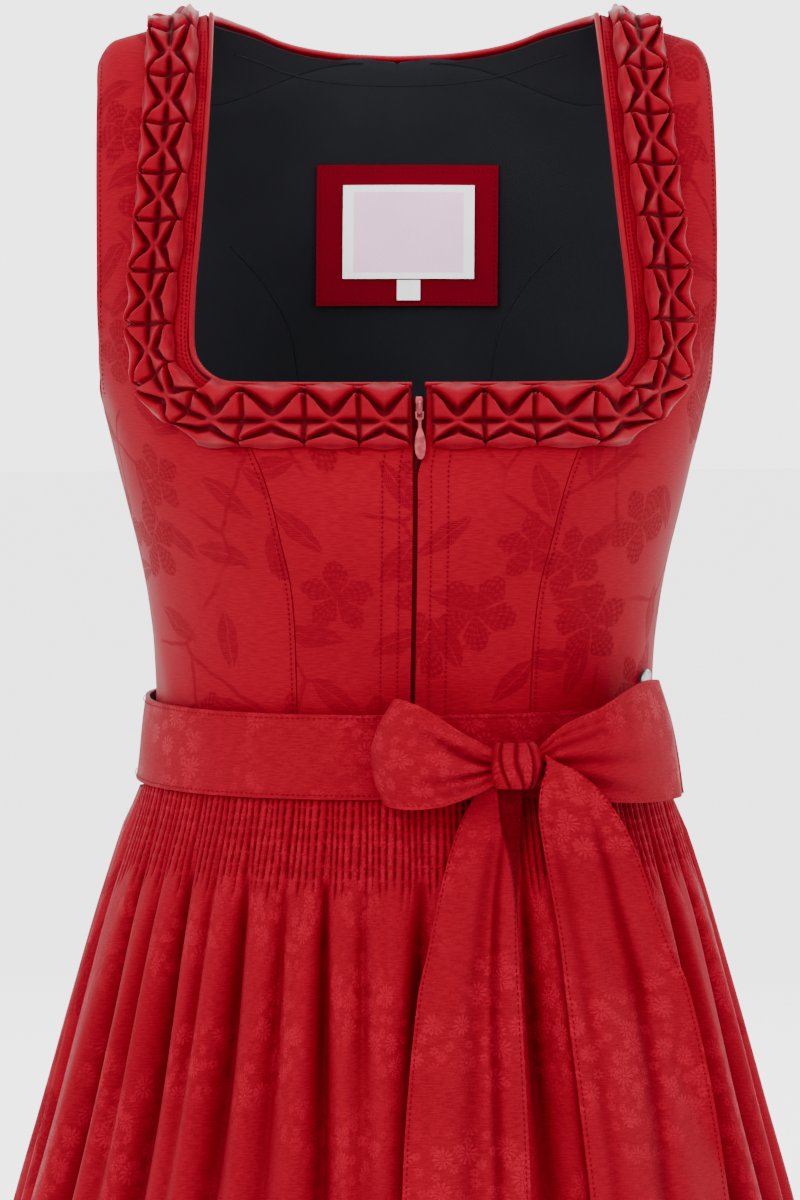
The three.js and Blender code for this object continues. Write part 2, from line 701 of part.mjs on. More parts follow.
// The skirt and apron: half width at the crest of the folds, by height.
const flare = curve([[-1030, 311], [-850, 268], [-700, 230], [-578, 195.5], [-529, 180],
  [-480, 165.5], [-431, 151], [-406, 142.5], [-382, 134.5], [-371, 131.5], [-366, 130]]);
const frontShare = curve([[-1030, 0.87], [-700, 0.82], [-480, 0.78], [-375, 0.735]]);
const backShare = curve([[-1030, 0.88], [-700, 0.8], [-480, 0.72], [-375, 0.68]]);
const roundness = curve([[-1030, 2.02], [-600, 2.08], [-375, 2.25]]);

// The point at an angle from the front centre, positive to the right.
function hang(deg, z, out) {
  const a = deg * RAD;
  const w = flare(z) + out;
  const share = Math.cos(a) >= 0 ? frontShare(z) : backShare(z);
  const e = 2 / roundness(z);
  return new THREE.Vector3(w * spow(Math.sin(a), e), -(w * share + out * (1 - share)) * spow(Math.cos(a), e), z);
}

// Fold valleys: angle, drift towards the hem, depth share, half width, by eye.
const FRONT_FOLDS = [
  [-88, 0, 0.8, 4], [-78, -1, 0.9, 4.5], [-64, -2.5, 1.1, 4.6], [-55.5, -1.5, 0.6, 3.6],
  [-47.2, -1, 1.15, 5.2], [-40, -1, 0.55, 3.2], [-32.3, -2, 0.95, 5], [-23.6, 0, 0.7, 3.8],
  [-15.5, 3.5, 1.0, 3.6], [-8.5, 2, 0.55, 3.4], [0.6, 0.5, 0.9, 4.6], [9.5, -1, 0.75, 4.2],
  [19, 0.5, 1.0, 4.8], [28.5, 1, 0.8, 4.4], [38, 1, 1.0, 4.6], [47.5, 1.5, 0.85, 4.2],
  [56.5, 2, 1.15, 4.4], [67.5, 1.5, 1.0, 4.4], [77.5, 1, 0.85, 4], [88, 0, 0.8, 4],
];
const BACK_FOLDS = [];
for (let k = 0; k < 14; k += 1) {
  const wob = 2.2 * Math.sin(k * 2.3 + 0.6);
  BACK_FOLDS.push([98 + (164 * k) / 13 + wob, 1.5 * Math.sin(k * 1.7), 0.85 + 0.25 * Math.sin(k * 3.1), 4.6]);
}
const foldDepth = curve([[-1030, 24], [-850, 21], [-700, 18], [-560, 14], [-480, 10], [-440, 6.5],
  [-418, 3.2], [-400, 1.4], [-371, 0.6]]);

const ALL_FOLDS = [...FRONT_FOLDS, ...BACK_FOLDS];
function foldAt(deg, z) {
  const fall = smooth(-415, -800, z);
  const wide = lerp(0.85, 1.1, fall);
  let sum = 0;
  for (const [a, drift, depth, half] of ALL_FOLDS) {
    const away = ((deg - (a + drift * fall) + 540) % 360) - 180;
    const d = away / (half * wide);
    sum += depth * Math.exp(-d * d * 1.1);
  }
  return -foldDepth(z) * Math.min(sum, 1.25);
}

// Column angles: four to a fold, laid on the valleys.
function foldColumns(folds, from, to, coarse = () => false) {
  const list = [];
  const v = folds.map((f) => f[0]).filter((a) => a > from + 0.6 && a < to - 0.6);
  const stops = [from, ...v, to];
  for (let i = 0; i < stops.length - 1; i += 1) {
    const gap = stops[i + 1] - stops[i];
    const parts = gap > 6.4 && !coarse(stops[i]) ? 4 : 2;
    for (let k = 0; k < parts; k += 1) list.push(stops[i] + (gap * k) / parts);
  }
  list.push(to);
  return list;
}

const under = (deg) => 6.2 * (1 - smooth(APRON_HALF + 0.6, APRON_HALF + 5.5, Math.abs(deg)));
const skirtZ = [SKIRT_TOP_Z, -404, -470, -620, SKIRT_HEM_Z];
{
  const cols = foldColumns(FRONT_FOLDS, -89.93, 89.93, (a) => Math.abs(a) < 75);
  const row = (z, d) => cols.map((a) => {
    const f = a + shift(a, z, FRONT_FOLDS);
    return hang(f, z, foldAt(f, z) - under(f) - tuck(z) - d);
  });
  add('skirt_front', cloth(skirtZ.map((z) => row(z, 0)), skirtZ.map((z) => row(z, 1.8))), SATIN);
}
{
  const cols = foldColumns(BACK_FOLDS, 90.07, 269.93);
  const row = (z, d) => cols.map((a) => {
    const f = a + shift(a, z, BACK_FOLDS);
    return hang(f, z, foldAt(f, z) - tuck(z) - d);
  });
  add('skirt_back', cloth(skirtZ.map((z) => row(z, 0)), skirtZ.map((z) => row(z, 1.8))), SATIN);
}

// Columns follow the drift of the folds between them.
function shift(deg, z, folds) {
  const fall = smooth(-415, -800, z);
  let i = 0;
  while (i < folds.length - 1 && deg > folds[i + 1][0]) i += 1;
  const a = folds[i];
  const b = folds[Math.min(i + 1, folds.length - 1)];
  const t = b[0] === a[0] ? 0 : clamp((deg - a[0]) / (b[0] - a[0]), 0, 1);
  const edge = Math.min(smooth(0, 6, Math.abs(Math.abs(deg - 180) - 90)), 1);
  return lerp(a[1], b[1], t) * fall * edge;
}

// The skirt is drawn in at its seam, under the sash.
function tuck(z) {
  return 2.6 * smooth(-395, -376, z);
}

// The apron: fine cartridge pleats held by rows of stitches, then free folds.
{
  const cols = foldColumns(FRONT_FOLDS, -APRON_HALF, APRON_HALF);
  const zs = [SMOCK_END_Z - 8, -470, -560, -720, APRON_HEM_Z];
  const row = (z, d) => cols.map((a) => {
    const f = a + shift(a, z, FRONT_FOLDS);
    return hang(f, z, foldAt(f, z) - d);
  });
  const fine = (z, relief) => {
    const list = [];
    for (let k = 0; k <= PLEATS * 2; k += 1) {
      const a = -APRON_HALF + (APRON_HALF * k) / PLEATS;
      list.push(hang(a, z, foldAt(a, z) + (k % 2 === 0 ? -relief : 0)));
    }
    return list;
  };
  const outer = [fine(APRON_TOP_Z, 1.5), fine(SMOCK_END_Z, 1.5), ...zs.map((z) => row(z, 0))];
  const inner = [row(APRON_TOP_Z, 3), ...zs.map((z) => row(z, z > -430 ? 2.6 : 1.8))];
  add('apron', cloth(outer, inner), APRON_CLOTH);
}

// The sash: a flat band round the waist.
const sashWidth = curve([[-370, 132], [-352, 130], [-330, 127.4]]);
function band(deg, z, out) {
  const a = deg * RAD;
  const extra = sashWidth(z) - bodyWidth(z) + out;
  const depth = Math.cos(a) >= 0 ? bodyFront(z) : bodyBack(z);
  const e = 2 / FULLNESS;
  return new THREE.Vector3(
    (bodyWidth(z) + extra) * spow(Math.sin(a), e),
    -(depth + extra) * spow(Math.cos(a), e),
    z,
  );
}
{
  const row = (z, out) => {
    const list = [];
    for (let k = 0; k < 44; k += 1) list.push(band((k * 360) / 44, z, out));
    return list;
  };
  const zs = [SASH_TOP_Z, SASH_END_Z];
  add('sash', cloth(zs.map((z) => row(z, 0)), zs.map((z) => row(z, -2.4)), true), APRON_CLOTH);
}

// The bow is tied right of the centre. Its knot is wrapped by the band.
{
  const n = 12;
  const rings = [];
  for (let i = 0; i <= 6; i += 1) {
    const t = i / 6;
    const z = lerp(-341.5, -363.5, t);
    const x = 46 + 1.5 * Math.sin(t * 3.1);
    const bulge = 0.8 + 0.2 * Math.sin(t * Math.PI);
    const ring = [];
    for (let k = 0; k < n; k += 1) {
      const a = (k / n) * 2 * Math.PI;
      const crease = 1 - 0.07 * (0.5 + 0.5 * Math.cos(a * 3 + t * 2.5)) * (Math.sin(a) < 0 ? 1 : 0);
      ring.push(new THREE.Vector3(
        x + 12.8 * bulge * crease * spow(Math.cos(a), 0.85),
        -103.9 + 11.5 * bulge * crease * spow(Math.sin(a), 0.85),
        z,
      ));
    }
    rings.push(ring);
  }
  const pos = [];
  rings.flat().forEach((p) => pos.push(p.x, p.y, p.z));
  const tris = [];
  for (let r = 0; r < 6; r += 1) {
    for (let k = 0; k < n; k += 1) {
      const [a, b] = [r * n + k, r * n + ((k + 1) % n)];
      tris.push(a, b, a + n, b, b + n, a + n);
    }
  }
  for (let k = 1; k < n - 1; k += 1) {
    tris.push(0, k + 1, k);
    tris.push(6 * n, 6 * n + k, 6 * n + k + 1);
  }
  add('bow_knot', solid(pos, tris), APRON_CLOTH);
}

// A loop of the bow: a band that leaves the knot, turns at its end and comes
// back behind itself. Stations hold x, y, top z and bottom z.
function loop(name, stations, puff) {
  const n = 14;
  const path = (k) => curve(stations.map((s, i) => [i / (stations.length - 1), s[k]]));
  const [fx, fy, ft, fb] = [path(0), path(1), path(2), path(3)];
  const levels = [0, 0.22, 0.5, 0.78, 1];
  const row = (h, d) => {
    const list = [];
    for (let i = 0; i <= n; i += 1) {
      const t = i / n;
      const e = 0.004;
      const tx = fx(t + e) - fx(t - e);
      const ty = fy(t + e) - fy(t - e);
      const l = Math.hypot(tx, ty);
      const z = lerp(ft(t), fb(t), h);
      const p = new THREE.Vector3(fx(t), fy(t), z);
      const half = t < 0.5 ? 1 : -1;
      const swell = puff * Math.sin(Math.PI * h) * Math.sin(Math.PI * clamp(t * 2, 0, 1)) * (half > 0 ? 1 : 0);
      p.y -= swell;
      p.x += (-ty / l) * d * Math.sign(stations[0][4]);
      p.y += (tx / l) * d * Math.sign(stations[0][4]);
      list.push(p);
    }
    return list;
  };
  add(name, cloth(levels.map((h) => row(h, 0)), levels.map((h) => row(h, 1.4))), APRON_CLOTH);
}
loop('bow_loop_left', [
  [34.2, -108, -344, -364, -1], [22, -113, -338, -367.5], [8, -117, -331.5, -371.5],
  [-6, -116, -327, -372.5], [-17, -110.5, -325, -371.5], [-19.5, -105.5, -326, -370],
  [-15, -101.4, -328, -368.5], [2, -98.2, -333, -366], [18, -97.5, -339, -364],
  [34.4, -96.0, -344, -361],
], 3);
loop('bow_loop_right', [
  [60.6, -106, -344, -364, 1], [72, -109, -333, -367.5], [88, -106, -325.5, -370.5],
  [104, -96, -319, -372.5], [118, -80, -315.5, -373.5], [126, -66, -317, -373.5],
  [127.5, -57, -320, -373], [123, -56, -323, -371.5], [112, -69, -327, -369], [92, -86, -333, -366.5],
  [76, -94, -339, -364], [60.6, -96.8, -344, -361],
], 3);

// The tails of the bow hang over the apron. Stations hold z, left x and right x.
function tail(name, stations, waves, lift) {
  const left = curve(stations.map((s) => [s[0], s[1]]));
  const right = curve(stations.map((s) => [s[0], s[2]]));
  const zs = [-363.95, -378, -394, -415, -450, -510, -600, -730, -880];
  const n = 6;
  const row = (z, d) => {
    const list = [];
    const room = smooth(-364, -410, z);
    for (let i = 0; i <= n; i += 1) {
      const t = i / n;
      const x = lerp(left(z), right(z), t);
      const w = flare(z);
      const e = roundness(z);
      const envelope = -(w * frontShare(z)) * (1 - Math.abs(x / w) ** e) ** (1 / e);
      const start = -102.6 - 0.03 * (x - 46);
      const y = lerp(start, Math.min(envelope - lift, start + 6), room);
      const wave = waves.reduce((s, [c, a, b]) => s + a * Math.exp(-(((t - c) / b) ** 2)), 0);
      list.push(new THREE.Vector3(x, y - wave * smooth(-366, -440, z) - d, z));
    }
    return list;
  };
  add(name, cloth(zs.map((z) => row(z, 1.4)), zs.map((z) => row(z, 0))), APRON_CLOTH);
}
tail('bow_tail_left', [
  [-364, 37, 44.6], [-382, 25.5, 43.5], [-402, 15, 43.4], [-420, 9.5, 45], [-460, -1, 48],
  [-550, -9.5, 51], [-700, -13, 52], [-880, -15, 52],
], [[0.3, 3, 0.16], [0.85, 2, 0.1]], 3.2);
tail('bow_tail_right', [
  [-364, 49.4, 57.4], [-382, 56.5, 84], [-402, 61, 103], [-425, 64.5, 113], [-462, 69, 131],
  [-556, 80, 149], [-700, 92, 163], [-880, 104, 176],
], [[0.28, 2.6, 0.14], [0.72, 3, 0.12]], 3.2);

// A round metal button on the bodice, half behind the bow.
{
  const profile = [[0, -0.7], [4.4, -0.7], [5.2, 0], [5.2, 0.9], [4.4, 1.5], [3.9, 0.9], [2.4, 1.3], [0, 1.7]];
  const g = new THREE.LatheGeometry(profile.map(([x, y]) => new THREE.Vector2(x, y)), 14);
  const z = -319.5;
  const [phi, q] = find(113, z, false);
  const n = skinNormal(phi, q, false);
  const button = new THREE.Mesh(g, new THREE.MeshStandardMaterial(SILVER));
  button.quaternion.setFromUnitVectors(new THREE.Vector3(0, 1, 0), n);
  button.position.copy(lay(phi, q, false, 1.7));
  button.name = 'button';
  dress.add(button);
}

// The patch on the back lining with its label and size tab, each lying on
// the one below and following the curve of the back.
function patch(name, xs, zs, level, thick, look) {
  const row = (z, d) => xs.map((x) => lay(...find(x, z, true), true, d));
  add(name, cloth(zs.map((z) => row(z, level)), zs.map((z) => row(z, level - thick))), look);
}
const patchLevel = inside - LINING - 2.2;
const labelLevel = patchLevel - 1.2 - 0.35;
patch('label_patch', [-40.5, -27, -13.5, 0, 13.5, 27, 40.5, 52.5], [-142.5, -128.5, -104.7, -81, -71],
  patchLevel, 1.2, SATIN);
patch('label', [-27, -13.5, 0, 13.5, 27, 40.5], [-128.5, -104.7, -81], labelLevel, 1.2, WHITE);
patch('size_tab', [1, 12.8], [-139.5, -129.3], labelLevel, 1.1, WHITE);

export default dress;
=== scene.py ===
import math

import bmesh
import bpy
import numpy as np
from mathutils import Matrix, Vector


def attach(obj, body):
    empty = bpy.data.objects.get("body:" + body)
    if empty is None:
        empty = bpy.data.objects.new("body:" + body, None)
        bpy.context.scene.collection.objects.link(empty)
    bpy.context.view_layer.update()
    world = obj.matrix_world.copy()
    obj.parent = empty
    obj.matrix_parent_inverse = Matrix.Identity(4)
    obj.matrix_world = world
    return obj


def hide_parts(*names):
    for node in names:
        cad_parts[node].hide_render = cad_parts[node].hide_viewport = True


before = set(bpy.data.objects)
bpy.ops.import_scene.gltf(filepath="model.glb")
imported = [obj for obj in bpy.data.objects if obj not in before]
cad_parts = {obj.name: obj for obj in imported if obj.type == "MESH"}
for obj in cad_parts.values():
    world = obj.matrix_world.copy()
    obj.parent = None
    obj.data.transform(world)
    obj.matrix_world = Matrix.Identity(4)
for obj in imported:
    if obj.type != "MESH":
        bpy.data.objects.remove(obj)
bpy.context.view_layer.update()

bl_info = {
    "name": "Dirndl with apron",
    "version": (1, 0, 0),
    "blender": (4, 5, 0),
    "location": "View3D > Sidebar > Dirndl",
    "description": "Dresses a zip-front dirndl and its smocked apron in satin, trim and stitching",
    "category": "Object",
}

BODY = "dress"
MM = 0.001


def curve(points):
    """A smooth monotone curve through (x, y) pairs, for arrays."""
    p = np.array(sorted(points), dtype=float)
    x, y = p[:, 0], p[:, 1]
    h = np.diff(x)
    d = np.diff(y) / h
    m = np.empty(len(x))
    m[0], m[-1] = d[0], d[-1]
    inner = np.where(d[:-1] * d[1:] <= 0, 0.0,
                     2 * d[:-1] * d[1:] / np.where(d[:-1] + d[1:] == 0, 1, d[:-1] + d[1:]))
    m[1:-1] = inner

    def value(v):
        v = np.asarray(v, dtype=float)
        i = np.clip(np.searchsorted(x, v, side="right") - 1, 0, len(h) - 1)
        t = (v - x[i]) / h[i]
        tc = np.clip(t, 0, 1)
        out = ((1 + 2 * tc) * (1 - tc) ** 2 * y[i] + tc * (1 - tc) ** 2 * h[i] * m[i]
               + tc ** 2 * (3 - 2 * tc) * y[i + 1] + tc ** 2 * (tc - 1) * h[i] * m[i + 1])
        out = np.where(v < x[0], y[0] + m[0] * (v - x[0]), out)
        return np.where(v > x[-1], y[-1] + m[-1] * (v - x[-1]), out)

    return value


def blend(a, b, t):
    return a + (b - a) * t


def smooth(a, b, v):
    t = np.clip((np.asarray(v, dtype=float) - a) / (b - a), 0, 1)
    return t * t * (3 - 2 * t)


def spow(v, e):
    return np.sign(v) * np.abs(v) ** e


# Sizes of the garment in millimetres, as its solids have them.
WAIST_Z = -375.0
UNDERARM_Z = -188.0
FULLNESS = 2.3
NECK_Z = -173.5
SHELL = 1.5
LINING_GAP = 1.1
LINING = 1.1
INSIDE = -(SHELL + LINING_GAP)
NECK_EDGE = 0.6
GAP = 0.2
APRON_TOP_Z = -370.6
APRON_HEM_Z = -995.0
SKIRT_TOP_Z = -375.6
SKIRT_HEM_Z = -1025.0
APRON_HALF = 79.0

body_width = curve([(-385, 127.5), (-376, 126.5), (-352, 123.8), (-328, 121.6), (-308, 122.5),
                    (-284, 125.2), (-260, 129.6), (-235, 135.7), (-210, 141.8), (-188, 147)])
body_front = curve([(-385, 93.5), (-376, 92.5), (-352, 89.5), (-330, 88), (-310, 91.5), (-290, 97),
                    (-270, 102), (-250, 106.5), (-225, 108.5), (-207, 105.5), (-188, 100)])
body_back = curve([(-385, 85.5), (-376, 84.5), (-352, 80.5), (-330, 78.5), (-290, 80.5),
                   (-240, 86.5), (-188, 91)])
upper_width = curve([(-188, 147), (-175, 150), (-161, 152.6), (-137, 157.5), (-88, 166),
                     (-40, 172), (0, 176)])
armhole_x = curve([(-188, 147), (-175, 148.7), (-161, 149.3), (-137, 149.7), (-88, 149.7),
                   (-60, 149.6), (-40, 149.2), (-18, 148.4), (0, 148)])
neck_x = curve([(-158, 106.2), (-150, 106), (-130, 105), (-100, 102), (-60, 98.5), (-20, 95.5),
                (2, 94.5)])
back_neck_z = curve([(0, -19.5), (20, -18.8), (42, -16.3), (58, -12.5), (71, -7.2), (88, -1.2),
                     (94.5, 1.6)])
princess_x = curve([(-385, 55.4), (-330, 55.6), (-300, 56.5), (-276, 58), (-247, 64), (-222, 70),
                    (-207, 76), (-190, 82), (-173, 86)])
zip_line = curve([(-385, -0.9), (-215, -0.9), (-200, 1.2), (-172, 1.6)])
zip_room = curve([(-385, 1.1), (-214, 1.1), (-200, 3.1), (-172, 3.9)])
flare = curve([(-1030, 311), (-850, 268), (-700, 230), (-578, 195.5), (-529, 180), (-480, 165.5),
               (-431, 151), (-406, 142.5), (-382, 134.5), (-371, 131.5), (-366, 130)])
front_share = curve([(-1030, 0.87), (-700, 0.82), (-480, 0.78), (-375, 0.735)])
back_share = curve([(-1030, 0.88), (-700, 0.8), (-480, 0.72), (-375, 0.68)])
roundness = curve([(-1030, 2.02), (-600, 2.08), (-375, 2.25)])
fold_depth = curve([(-1030, 24), (-850, 21), (-700, 18), (-560, 14), (-480, 10), (-440, 6.5),
                    (-418, 3.2), (-400, 1.4), (-371, 0.6)])
sash_width = curve([(-370, 132), (-352, 130), (-330, 127.4)])


def ridge_z(x, back):
    """Height of the shoulder line, rounded at its outer corner."""
    s = np.abs(x)
    k = np.clip(1 - (s / 94) ** 2, 0, 1)
    inner = 1.7 + (55 * k ** 1.5 if back else 0 * s)
    rounded = np.where(s > 138, 9 * (np.clip(s - 138, 0, None) / 10.5) ** 2.5, 0)
    return np.where(s < 94, inner, 1.7 - 0.28 * (s - 94) - np.minimum(rounded, 14))


def bust(x, z):
    """The fullness over each breast."""
    return 6 * np.exp(-((np.abs(x) - 60) / 36) ** 2 - ((z + 222) / 42) ** 2)


def skin(phi, q, back):
    """A point of the bodice from its angle round the figure and its level."""
    phi, q = np.broadcast_arrays(np.asarray(phi, float), np.asarray(q, float))
    c = spow(np.cos(phi), 2 / FULLNESS)
    s = spow(np.sin(phi), 2 / FULLNESS)
    zl = UNDERARM_Z + np.minimum(q, 0) * (UNDERARM_Z - WAIST_Z)
    xl = body_width(zl) * s
    yl = body_back(zl) * c if back else -body_front(zl) * c - bust(xl, zl)
    over = q > 1
    is_back = over != back
    v = np.where(over, 2 - q, np.clip(q, 0, None))
    t = np.where(is_back, np.sin(v * math.pi / 2), 1 - np.abs(1 - v) ** 1.613)
    fall = np.where(is_back, np.cos(v * math.pi / 2), 1 - v)
    xu = upper_width(UNDERARM_Z * (1 - t)) * s
    rz = np.where(is_back, ridge_z(xu, True), ridge_z(xu, False))
    zu = UNDERARM_Z + (rz - UNDERARM_Z) * t
    yu = np.where(is_back, 91.0, -100.0) * fall * c - np.where(is_back, 0, bust(xu, zu) * (1 - t))
    low = q <= 0
    return np.stack([np.where(low, xl, xu), np.where(low, yl, yu), np.where(low, zl, zu)], axis=-1)


def turn(s):
    """The angle whose share of the half width is s."""
    return np.sign(s) * np.arcsin(np.minimum(1, np.abs(s) ** (FULLNESS / 2)))


def find(x, z, back):
    """The angle and level of a point given by its x and z."""
    x, z = np.broadcast_arrays(np.asarray(x, float), np.asarray(z, float))
    t = np.clip((z - UNDERARM_Z) / (ridge_z(x, back) - UNDERARM_Z), 0, 1)
    qu = np.arcsin(t) / (math.pi / 2) if back else 1 - (1 - t) ** 0.62
    low = z <= UNDERARM_Z
    q = np.where(low, (z - UNDERARM_Z) / (UNDERARM_Z - WAIST_Z), qu)
    width = np.where(low, body_width(z), upper_width(UNDERARM_Z * (1 - t)))
    return np.stack([turn(x / width), q], axis=-1)


def ridge(x, q=1.0):
    return np.array([float(turn(x / upper_width(0))), q])


def side_seam(side, z):
    return np.array([side * math.pi / 2, (z - UNDERARM_Z) / (UNDERARM_Z - WAIST_Z)])


def skin_normal(phi, q, back):
    """The way out of the skin at a point."""
    e = 0.02
    a = skin(phi + e, q, back) - skin(phi - e, q, back)
    b = skin(phi, q + e, back) - skin(phi, q - e, back)
    n = np.cross(a, b)
    n /= np.linalg.norm(n, axis=-1, keepdims=True)
    p = skin(phi, q, back)
    ref = np.stack([p[..., 0], p[..., 1] * 1.4, p[..., 2] + 200], axis=-1)
    return n * np.where((n * ref).sum(-1) < 0, -1, 1)[..., None]


def lay(phi, q, back, out):
    """A point a set distance off the skin."""
    out = np.asarray(out, float)
    return skin(phi, q, back) + skin_normal(phi, q, back) * (out[..., None] if out.ndim else out)


def along(edge):
    """Smooth edges through listed (angle, level) pairs, by share of the list."""
    e = np.array(edge, float)
    k = np.linspace(0, 1, len(e))
    turns, levels = curve(list(zip(k, e[:, 0]))), curve(list(zip(k, e[:, 1])))
    return lambda v: (turns(v), levels(v))


def measure(grid, gathered, spread=None):
    """Where each point of the grid lay on the flat cloth, in metres."""
    across = np.linalg.norm(np.diff(grid, axis=1), axis=2)
    down = np.linalg.norm(np.diff(grid, axis=0), axis=2)
    run = np.concatenate([np.zeros((len(grid), 1)), np.cumsum(across, axis=1)], axis=1)
    middle = grid.shape[1] // 2
    fall = np.concatenate([[0.0], np.cumsum(down[:, middle])])
    if spread is not None:
        row = np.interp(np.linspace(0, 1, grid.shape[1]), np.linspace(0, 1, len(spread)), spread)
        flat_u = np.repeat(row[None, :], len(grid), axis=0)
    elif gathered:
        row = run[int(len(run) * 0.12)]
        flat_u = np.repeat((row - row[middle])[None, :], len(grid), axis=0)
    else:
        flat_u = run - run[:, middle:middle + 1]
    flat_v = np.repeat(fall[:, None], grid.shape[1], axis=1)
    first = np.cross(grid[1:, 1:] - grid[:-1, :-1], grid[:-1, 1:] - grid[1:, :-1])
    area = float(np.linalg.norm(first, axis=2).sum() / 2)
    size = (float(np.ptp(flat_u)), float(down.sum(axis=0).max()), area)
    return flat_u, flat_v, size


def from_axis(c):
    """The way out of the dress at a point, level."""
    return Vector((c.x, c.y, 0.0))


def to_front(_):
    """The way to the front: out of the bow, or from the back into the dress."""
    return Vector((0, -1, 0))


def sheet_piece(name, nu, nv, place, thick, material, replaces=(), gathered=False,
                mirrored=False, out=from_axis, ring=False, shade=None, shift=(0.0, 0.0), spread=None):
    """A sheet of cloth: a grid laid on its surface, given a wall and a finish."""
    bm = bmesh.new()
    bmesh.ops.create_grid(bm, x_segments=nu, y_segments=nv, size=1.0)
    bm.verts.ensure_lookup_table()
    uv = np.array([(v.co.x, v.co.y) for v in bm.verts]) * 0.5 + 0.5
    at = np.asarray(place(uv[:, 0], uv[:, 1])) * MM
    iu = np.rint(uv[:, 0] * nu).astype(int)
    iv = np.rint(uv[:, 1] * nv).astype(int)
    grid = np.zeros((nv + 1, nu + 1, 3))
    grid[iv, iu] = at
    flat_u, flat_v, size = measure(grid, gathered, spread)
    if mirrored:
        flat_u = flat_u - flat_u[:, :1]
        size = (size[0] * 2, size[1], size[2] * 2)
    layer = bm.loops.layers.uv.new("cloth")
    # Painted shade: how dark each point is painted in the hollows, kept for the finish.
    painted_shade = bm.verts.layers.float.new("painted_shade")
    depth = shade(uv[:, 0], uv[:, 1]) if shade else np.zeros(len(uv))
    fu, fv = flat_u[iv, iu] + shift[0], flat_v[iv, iu] + shift[1]
    for v, p, h in zip(bm.verts, at, depth):
        v.co = p
        v[painted_shade] = h
    for face in bm.faces:
        for loop in face.loops:
            i = loop.vert.index
            loop[layer].uv = (fu[i], fv[i])
        face.smooth = True
    if mirrored:
        bmesh.ops.mirror(bm, geom=bm.verts[:] + bm.edges[:] + bm.faces[:], axis="X", merge_dist=1e-6)
        for face in bm.faces:
            if face.calc_center_median().x < 0:
                for loop in face.loops:
                    loop[layer].uv.x = 2 * shift[0] - loop[layer].uv.x
    if ring:
        bmesh.ops.remove_doubles(bm, verts=bm.verts[:], dist=1e-6)
    bmesh.ops.recalc_face_normals(bm, faces=bm.faces[:])
    for edge in bm.edges:
        if edge.is_boundary:
            edge.smooth = False
    total = sum(f.normal.dot(out(f.calc_center_median())) * f.calc_area() for f in bm.faces)
    if total < 0:
        bmesh.ops.reverse_faces(bm, faces=bm.faces[:])
    return finish_piece(bm, name, material, replaces, thick), size


def finish_piece(bm, name, material, replaces=(), thick=0.0):
    """Turns a bmesh into a piece that rides on the dress."""
    mesh = bpy.data.meshes.new(name)
    bm.normal_update()
    bm.to_mesh(mesh)
    bm.free()
    obj = bpy.data.objects.new(name, mesh)
    bpy.context.scene.collection.objects.link(obj)
    obj.data.materials.append(material)
    if thick:
        wall = obj.modifiers.new("wall", "SOLIDIFY")
        wall.thickness = thick * MM
        wall.offset = -1
    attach(obj, BODY)
    if replaces:
        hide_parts(*replaces)
    return obj


